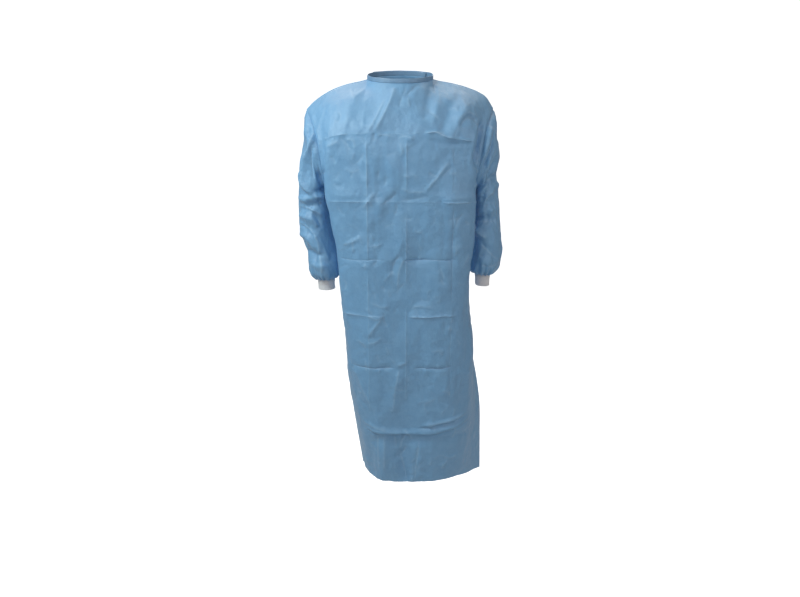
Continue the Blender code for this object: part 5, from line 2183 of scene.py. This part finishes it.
@dataclass(frozen=True)
class NeckBinding:
    """The strip folded over the neck's edge, with its row of stitches."""

    form: BodyForm
    finishes: Finishes
    stitches: StitchTree
    height: float = 0.0115
    lean: float = 0.10
    lean_depth: float = 0.05
    leaf_gap: float = 0.0011
    thickness: float = 0.0005
    points_round: int = 300
    least_step: float = 0.0008
    waver: float = 0.0005
    waver_size: float = 0.030
    pucker: float = 0.00028
    pucker_size: float = 0.006
    rows_up: int = 9
    bulge: float = 0.5
    stitch_height: float = 0.0026
    stitch_lift: float = 0.0002
    flat_size: Pair = (0.030, 0.53)

    def foot(self, body: BodyGrids) -> Array:
        """The line round the neck that the strip stands on, its ends lapped at the centre back.

        Args:
            body: The finished grids of the body.

        Returns:
            Its points, at even steps.
        """
        neck = self.form.neck_share + 1e-9
        round_back = np.abs(body.back_shares) <= neck
        right = body.back[-1][round_back & body.under][::-1]
        right = right[right[:, 0] > -self.form.neck_half_width]
        path = np.concatenate([right, body.front[-1][np.abs(body.shares) <= neck],
                               body.raised[-1][round_back & body.over][::-1]])
        steps = np.linalg.norm(np.diff(path, axis=0), axis=-1)
        path = path[np.concatenate([[True], steps > self.least_step])]
        knots = lengths(path)
        return spline(knots, path, np.linspace(0.0, knots[-1], self.points_round))

    def profile(self) -> list[Pair]:
        """The strip's section from its outer edge, over the top and down inside.

        Returns:
            A height and a depth for each point.
        """
        depth, top = self.leaf_gap / 2, self.height - self.leaf_gap
        rise = np.linspace(0.0, top, self.rows_up)
        outer = [(height, depth * (1.0 + self.bulge * math.sin(math.pi * height / self.height)))
                 for height in rise]
        turn = [(top + self.leaf_gap * math.sin(angle), depth * math.cos(angle))
                for angle in np.radians((22.5, 45.0, 67.5, 90.0, 112.5, 135.0, 157.5))]
        return outer + turn + [(height, -depth) for height in rise[::-1]]

    def build(self, body: BodyGrids) -> None:
        """Make the strip and its stitches.

        Args:
            body: The finished grids of the body.
        """
        foot = self.foot(body)
        away = unit(foot * (1.0, 1.0, 0.0))
        up = np.zeros_like(foot)
        up[:, 1] = self.lean * np.clip(-foot[:, 1] / self.lean_depth, -1.0, 1.0)
        up[:, 2] = 1.0
        waver = unevenness(foot, self.waver_size, 15.0)[:, None] * self.waver
        grid = np.stack([foot + up * height + away * depth + up * waver * (height / self.height)
                         for height, depth in self.profile()])
        puckers = unevenness(foot, self.pucker_size, 16.0)[None] * self.pucker
        grid = grid + away[None] * (puckers * np.linspace(1.0, 0.0, len(grid))[:, None])[..., None]
        facing = unit(np.cross(np.gradient(grid, axis=1), np.gradient(grid, axis=0)))
        if np.sum(facing[0] * away) < 0:
            facing = -facing
        piece = ClothShell("neck_binding_cloth", grid, self.thickness, self.finishes.band, facing=facing,
                           stride=1).build()
        outside = self.leaf_gap / 2 + self.thickness / 2 + self.stitch_lift
        line = foot + up * self.stitch_height + away * outside
        stitches = self.stitches.run("neck_binding_stitches", [line], Step=0.0030, Length=0.0023,
                                     Radius=0.00022, Material=self.finishes.band_thread)
        dress(piece, "binding", "neck_binding")
        dress(stitches, "binding")


@dataclass(frozen=True)
class WaistTie:
    """One tape, from the side seam across the back to the knot and down its free end."""

    side: Side
    form: BodyForm
    finishes: Finishes
    stitches: StitchTree
    stations: int = 190
    points_across: int = 17
    cut_width: float = 0.024
    thickness: float = 0.0007
    pleats: int = 3
    curl: float = 0.0007
    curl_size: float = 0.05
    ripple: float = 0.0005
    ripple_size: float = 0.018
    narrowest: float = 0.3
    stitch_lift: float = 0.0001
    probe: float = 0.004
    box_rows: tuple[int, int] = (3, 13)
    flat_size: Pair = (0.024, 0.46)

    def back_surface(self, across: Array, heights: Array) -> tuple[Array, Array]:
        """Points and normals of the wrapped back's plain form.

        Args:
            across: The share across of each point.
            heights: The height of each point.

        Returns:
            The points and their unit normals.
        """
        centre, right, left, low, high = (
            self.form.points(Face.BACK, heights + up * self.probe, across + over * self.probe)
            for over, up in ((0, 0), (-1, 0), (1, 0), (0, -1), (0, 1)))
        facing = unit(np.cross(left - right, high - low))
        return centre, np.where(facing[:, 1:2] < 0, -facing, facing)

    def build(self) -> None:
        """Make the tape and the stitches that hold its end in the side seam."""
        columns = TIE_ROUTES[self.side]
        along = np.linspace(0.0, 1.0, self.stations)
        across, height, outside, width = read(columns, "across height outside width", along)
        centre, facing = self.back_surface(across, height)
        path = centre + facing * outside[:, None]
        forward = unit(np.gradient(path, axis=0))
        sideways = unit(np.cross(facing, forward))
        upward = np.cross(forward, sideways)
        share = np.linspace(-1.0, 1.0, self.points_across)
        squeeze = np.clip(width / self.cut_width, self.narrowest, 1.0)
        depth = np.sqrt(np.maximum(1.0 - squeeze**2, 0.0)) * self.cut_width / (4.0 * self.pleats)
        wave = np.cos(math.pi * self.pleats * share)[None] * depth[:, None]
        curl = self.curl * unevenness(path, self.curl_size, 21.0)[:, None] * (share**2)[None]
        ripple = self.ripple * unevenness(path, self.ripple_size, 22.0)[:, None] * share[None]
        grid = (path[:, None] + (share[None] * width[:, None] / 2)[..., None] * sideways[:, None]
                + (wave + curl + ripple)[..., None] * upward[:, None])
        outward = normals(grid)
        if np.sum(outward * upward[:, None]) < 0:
            outward = -outward
        name = "waist_tie_tape_" + self.side.value
        piece = ClothShell(name, grid, self.thickness, self.finishes.cloth, facing=outward, stride=1).build()
        edge = grid + outward * (self.thickness / 2 + self.stitch_lift)
        start, stop = self.box_rows
        box = np.concatenate([edge[start:stop, 2], edge[stop - 1, 2:-2], edge[start:stop, -3][::-1],
                              edge[start, 2:-2][::-1]])
        stitches = self.stitches.run("waist_tie_stitches_" + self.side.value, [box], Step=0.0026,
                                     Length=0.0019, Radius=0.0002, Material=self.finishes.thread)
        dress(piece, "tie_tape", "waist_tie_" + self.side.value)
        dress(stitches, "tie_tape")


@dataclass(frozen=True)
class SeamStitches:
    """The rows of thread that show in the seams of body and sleeves."""

    form: BodyForm
    finishes: Finishes
    stitches: StitchTree
    inset: float = 0.0026
    lift: float = 0.00035
    cuff_lift: float = 0.0004
    shoulder_end: float = 0.97

    def beside(self, surface: Array, columns: list[int]) -> Array:
        """A line on a surface a little way in from the first of some columns or rows.

        Args:
            surface: Points, rows by columns by 3.
            columns: The columns from the seam inwards.

        Returns:
            One point for each row.
        """
        near = surface[:, columns]
        along = lengths(near, 1)
        return np.stack([[np.interp(self.inset, along[row], near[row, :, axis]) for axis in range(3)]
                         for row in range(len(near))])

    def row(self, name: str, lines: list[Array], thread: Material) -> None:
        """Make the stitches along some lines as one piece.

        Args:
            name: The piece's name.
            lines: The points of each line.
            thread: The stitches' material.
        """
        dress(self.stitches.run(name, lines, Step=0.0032, Length=0.0022, Radius=0.00019, Material=thread),
              "gown_cloth")

    def build(self, body: BodyGrids, sleeves: dict[Side, Array]) -> None:
        """Stitch the side seams, the shoulders, the armholes and the gathered ends of the sleeves.

        Args:
            body: The finished grids of the body.
            sleeves: The finished grid of each sleeve.
        """
        lifted = body.front + normals(body.front) * self.lift
        for side, columns in ((Side.RIGHT, [0, 1, 2, 3]), (Side.LEFT, [-1, -2, -3, -4])):
            shoulder = ((body.shares * side.sign > self.form.neck_share)
                        & (np.abs(body.shares) < self.shoulder_end))
            seam = [self.beside(lifted, columns)[:-3],
                    self.beside(lifted[:, shoulder].transpose(1, 0, 2), [-1, -2, -3, -4])]
            self.row("seam_stitches_" + side.value, seam, self.finishes.thread)
            grid = sleeves[side]
            end = grid[-3] + normals(grid, closed=True)[-3] * self.cuff_lift
            self.row("cuff_seam_stitches_" + side.value, [np.concatenate([end, end[:1]])],
                     self.finishes.white_thread)


@dataclass(frozen=True)
class Lamp:
    """A soft rectangular lamp: its place, the point that it faces, its size, power in watts and colour."""

    name: str
    place: Triple
    target: Triple
    size: Pair
    power: float
    colour: Triple

    def hang(self) -> None:
        """Put the lamp in the scene."""
        light = bpy.data.lights.new(self.name, "AREA")
        light.shape = "RECTANGLE"
        light.size, light.size_y = self.size
        light.energy = self.power
        light.color = self.colour
        item = new_object(self.name, light)
        item.location = self.place
        item.rotation_euler = (Vector(self.target) - Vector(self.place)).to_track_quat("-Z", "Y").to_euler()


@dataclass(frozen=True)
class Studio:
    """A pale floor that curves up into a pale backdrop all round, soft lights and the camera."""

    floor_z: float = -1.50
    floor_radius: float = 3.4
    bend: float = 1.6
    wall_height: float = 3.6
    backdrop_steps: int = 96
    camera_place: Triple = (0.0, -1.875, -0.085)
    camera_pitch: float = 15.96
    focal_px: float = 650.5
    fill: float = 0.08
    paper: Triple = (0.55, 0.55, 0.55)
    sky: Triple = (0.78, 0.92, 1.0)
    image_width: int = 800
    sensor: float = 36.0
    lamps: tuple[Lamp, ...] = (
        Lamp("top_light_right", (-0.7, 0.55, 1.5), (-0.1, 0.0, -0.15), (1.0, 1.0), 10.5, (1.0, 0.82, 0.71)),
        Lamp("top_light_left", (0.7, 0.55, 1.5), (0.1, 0.0, -0.15), (1.0, 1.0), 8.2, (1.0, 0.79, 0.62)),
        Lamp("key_light", (-1.05, -0.9, 0.85), (-0.12, 0.0, -0.15), (0.7, 0.7), 15.0, (0.91, 1.0, 0.97)),
        Lamp("sleeve_light", (-1.15, -0.4, 0.15), (-0.28, 0.0, -0.3), (0.4, 0.5), 3.0, (0.80, 0.95, 1.0)),
        Lamp("front_light", (0.0, -2.3, 0.9), (0.0, 0.0, -0.4), (0.8, 0.6), 8.0, (1.0, 0.87, 0.84)),
        Lamp("side_light", (1.8, -1.5, 0.5), (0.0, 0.0, -0.4), (1.0, 1.2), 8.0, (1.0, 0.93, 0.90)),
        Lamp("rear_light", (0.0, 2.4, 1.0), (0.0, 0.0, -0.6), (1.6, 1.4), 36.0, (1.0, 1.0, 1.0)),
    )

    def backdrop(self) -> None:
        """Make the floor and the backdrop as one turned shape."""
        radius, bend, count = self.floor_radius, self.bend, self.backdrop_steps
        profile = [(0.02, 0.0)] + [(reach, 0.0) for reach in np.linspace(0.5, radius, 7)]
        profile += [(radius + bend * math.sin(angle), bend * (1.0 - math.cos(angle)))
                    for angle in np.linspace(0.0, math.pi / 2, 13)[1:]]
        profile += [(radius + bend, bend + rise) for rise in np.linspace(0.4, self.wall_height, 4)]
        turns = [2 * math.pi * index / count for index in range(count)]
        points = [(reach * math.cos(turn), reach * math.sin(turn), self.floor_z + height)
                  for reach, height in profile for turn in turns]
        faces = [(row + first, row + second, row + count + second, row + count + first)
                 for row in range(0, (len(profile) - 1) * count, count)
                 for first, second in zip(range(count), [*range(1, count), 0])]
        faces.append(tuple(reversed(range(count))))
        mesh = bpy.data.meshes.new("backdrop")
        mesh.from_pydata(points, [], faces)
        mesh.shade_smooth()
        material, nodes, shader = new_material("backdrop_paper", {
            "Base Color": (*self.paper, 1.0), "Roughness": 0.95, "Specular IOR Level": 0.0,
            "Emission Color": (1.0, 1.0, 1.0, 1.0)})
        seen = nodes.add("ShaderNodeLightPath").outputs["Is Camera Ray"]
        glow = nodes.add("ShaderNodeMapRange", Value=seen, To_Min=self.fill, To_Max=1.0)
        nodes.fill(shader, {"Emission Strength": glow.outputs[0]})
        mesh.materials.append(material)
        new_object("backdrop", mesh)

    def build(self) -> None:
        """Make the stage, the lights, the surroundings and the camera."""
        scene = bpy.context.scene
        self.backdrop()
        for lamp in self.lamps:
            lamp.hang()
        world = bpy.data.worlds.new("surroundings")
        world.use_nodes = True
        background = world.node_tree.nodes["Background"]
        background.inputs["Color"].default_value = (*self.sky, 1.0)
        background.inputs["Strength"].default_value = self.fill
        scene.world = world
        scene.view_settings.view_transform = "Standard"
        camera = bpy.data.cameras.new("camera")
        camera.sensor_width = self.sensor
        camera.lens = self.focal_px / self.image_width * self.sensor
        camera.clip_end = 30.0
        item = new_object("camera", camera)
        item.location = self.camera_place
        item.rotation_euler = (math.radians(90.0 - self.camera_pitch), 0.0, 0.0)
        scene.camera = item


def main() -> None:
    """Build the gown piece by piece, then the studio round it."""
    logging.basicConfig(level=logging.INFO, format="%(name)s: %(message)s")
    Studio().build()
    finishes = Finishes.build()
    form = BodyForm()
    stitches, ribs = StitchTree(), RibTree()
    body = Body(form, finishes).build()
    sleeves = {}
    for side in Side:
        sleeve = Sleeve(side, form, finishes)
        sleeves[side] = sleeve.build()
        Cuff(sleeve, ribs).build()
        WaistTie(side, form, finishes, stitches).build()
    NeckBinding(form, finishes, stitches).build(body)
    SeamStitches(form, finishes, stitches).build(body, sleeves)


if __name__ == "__main__":
    main()
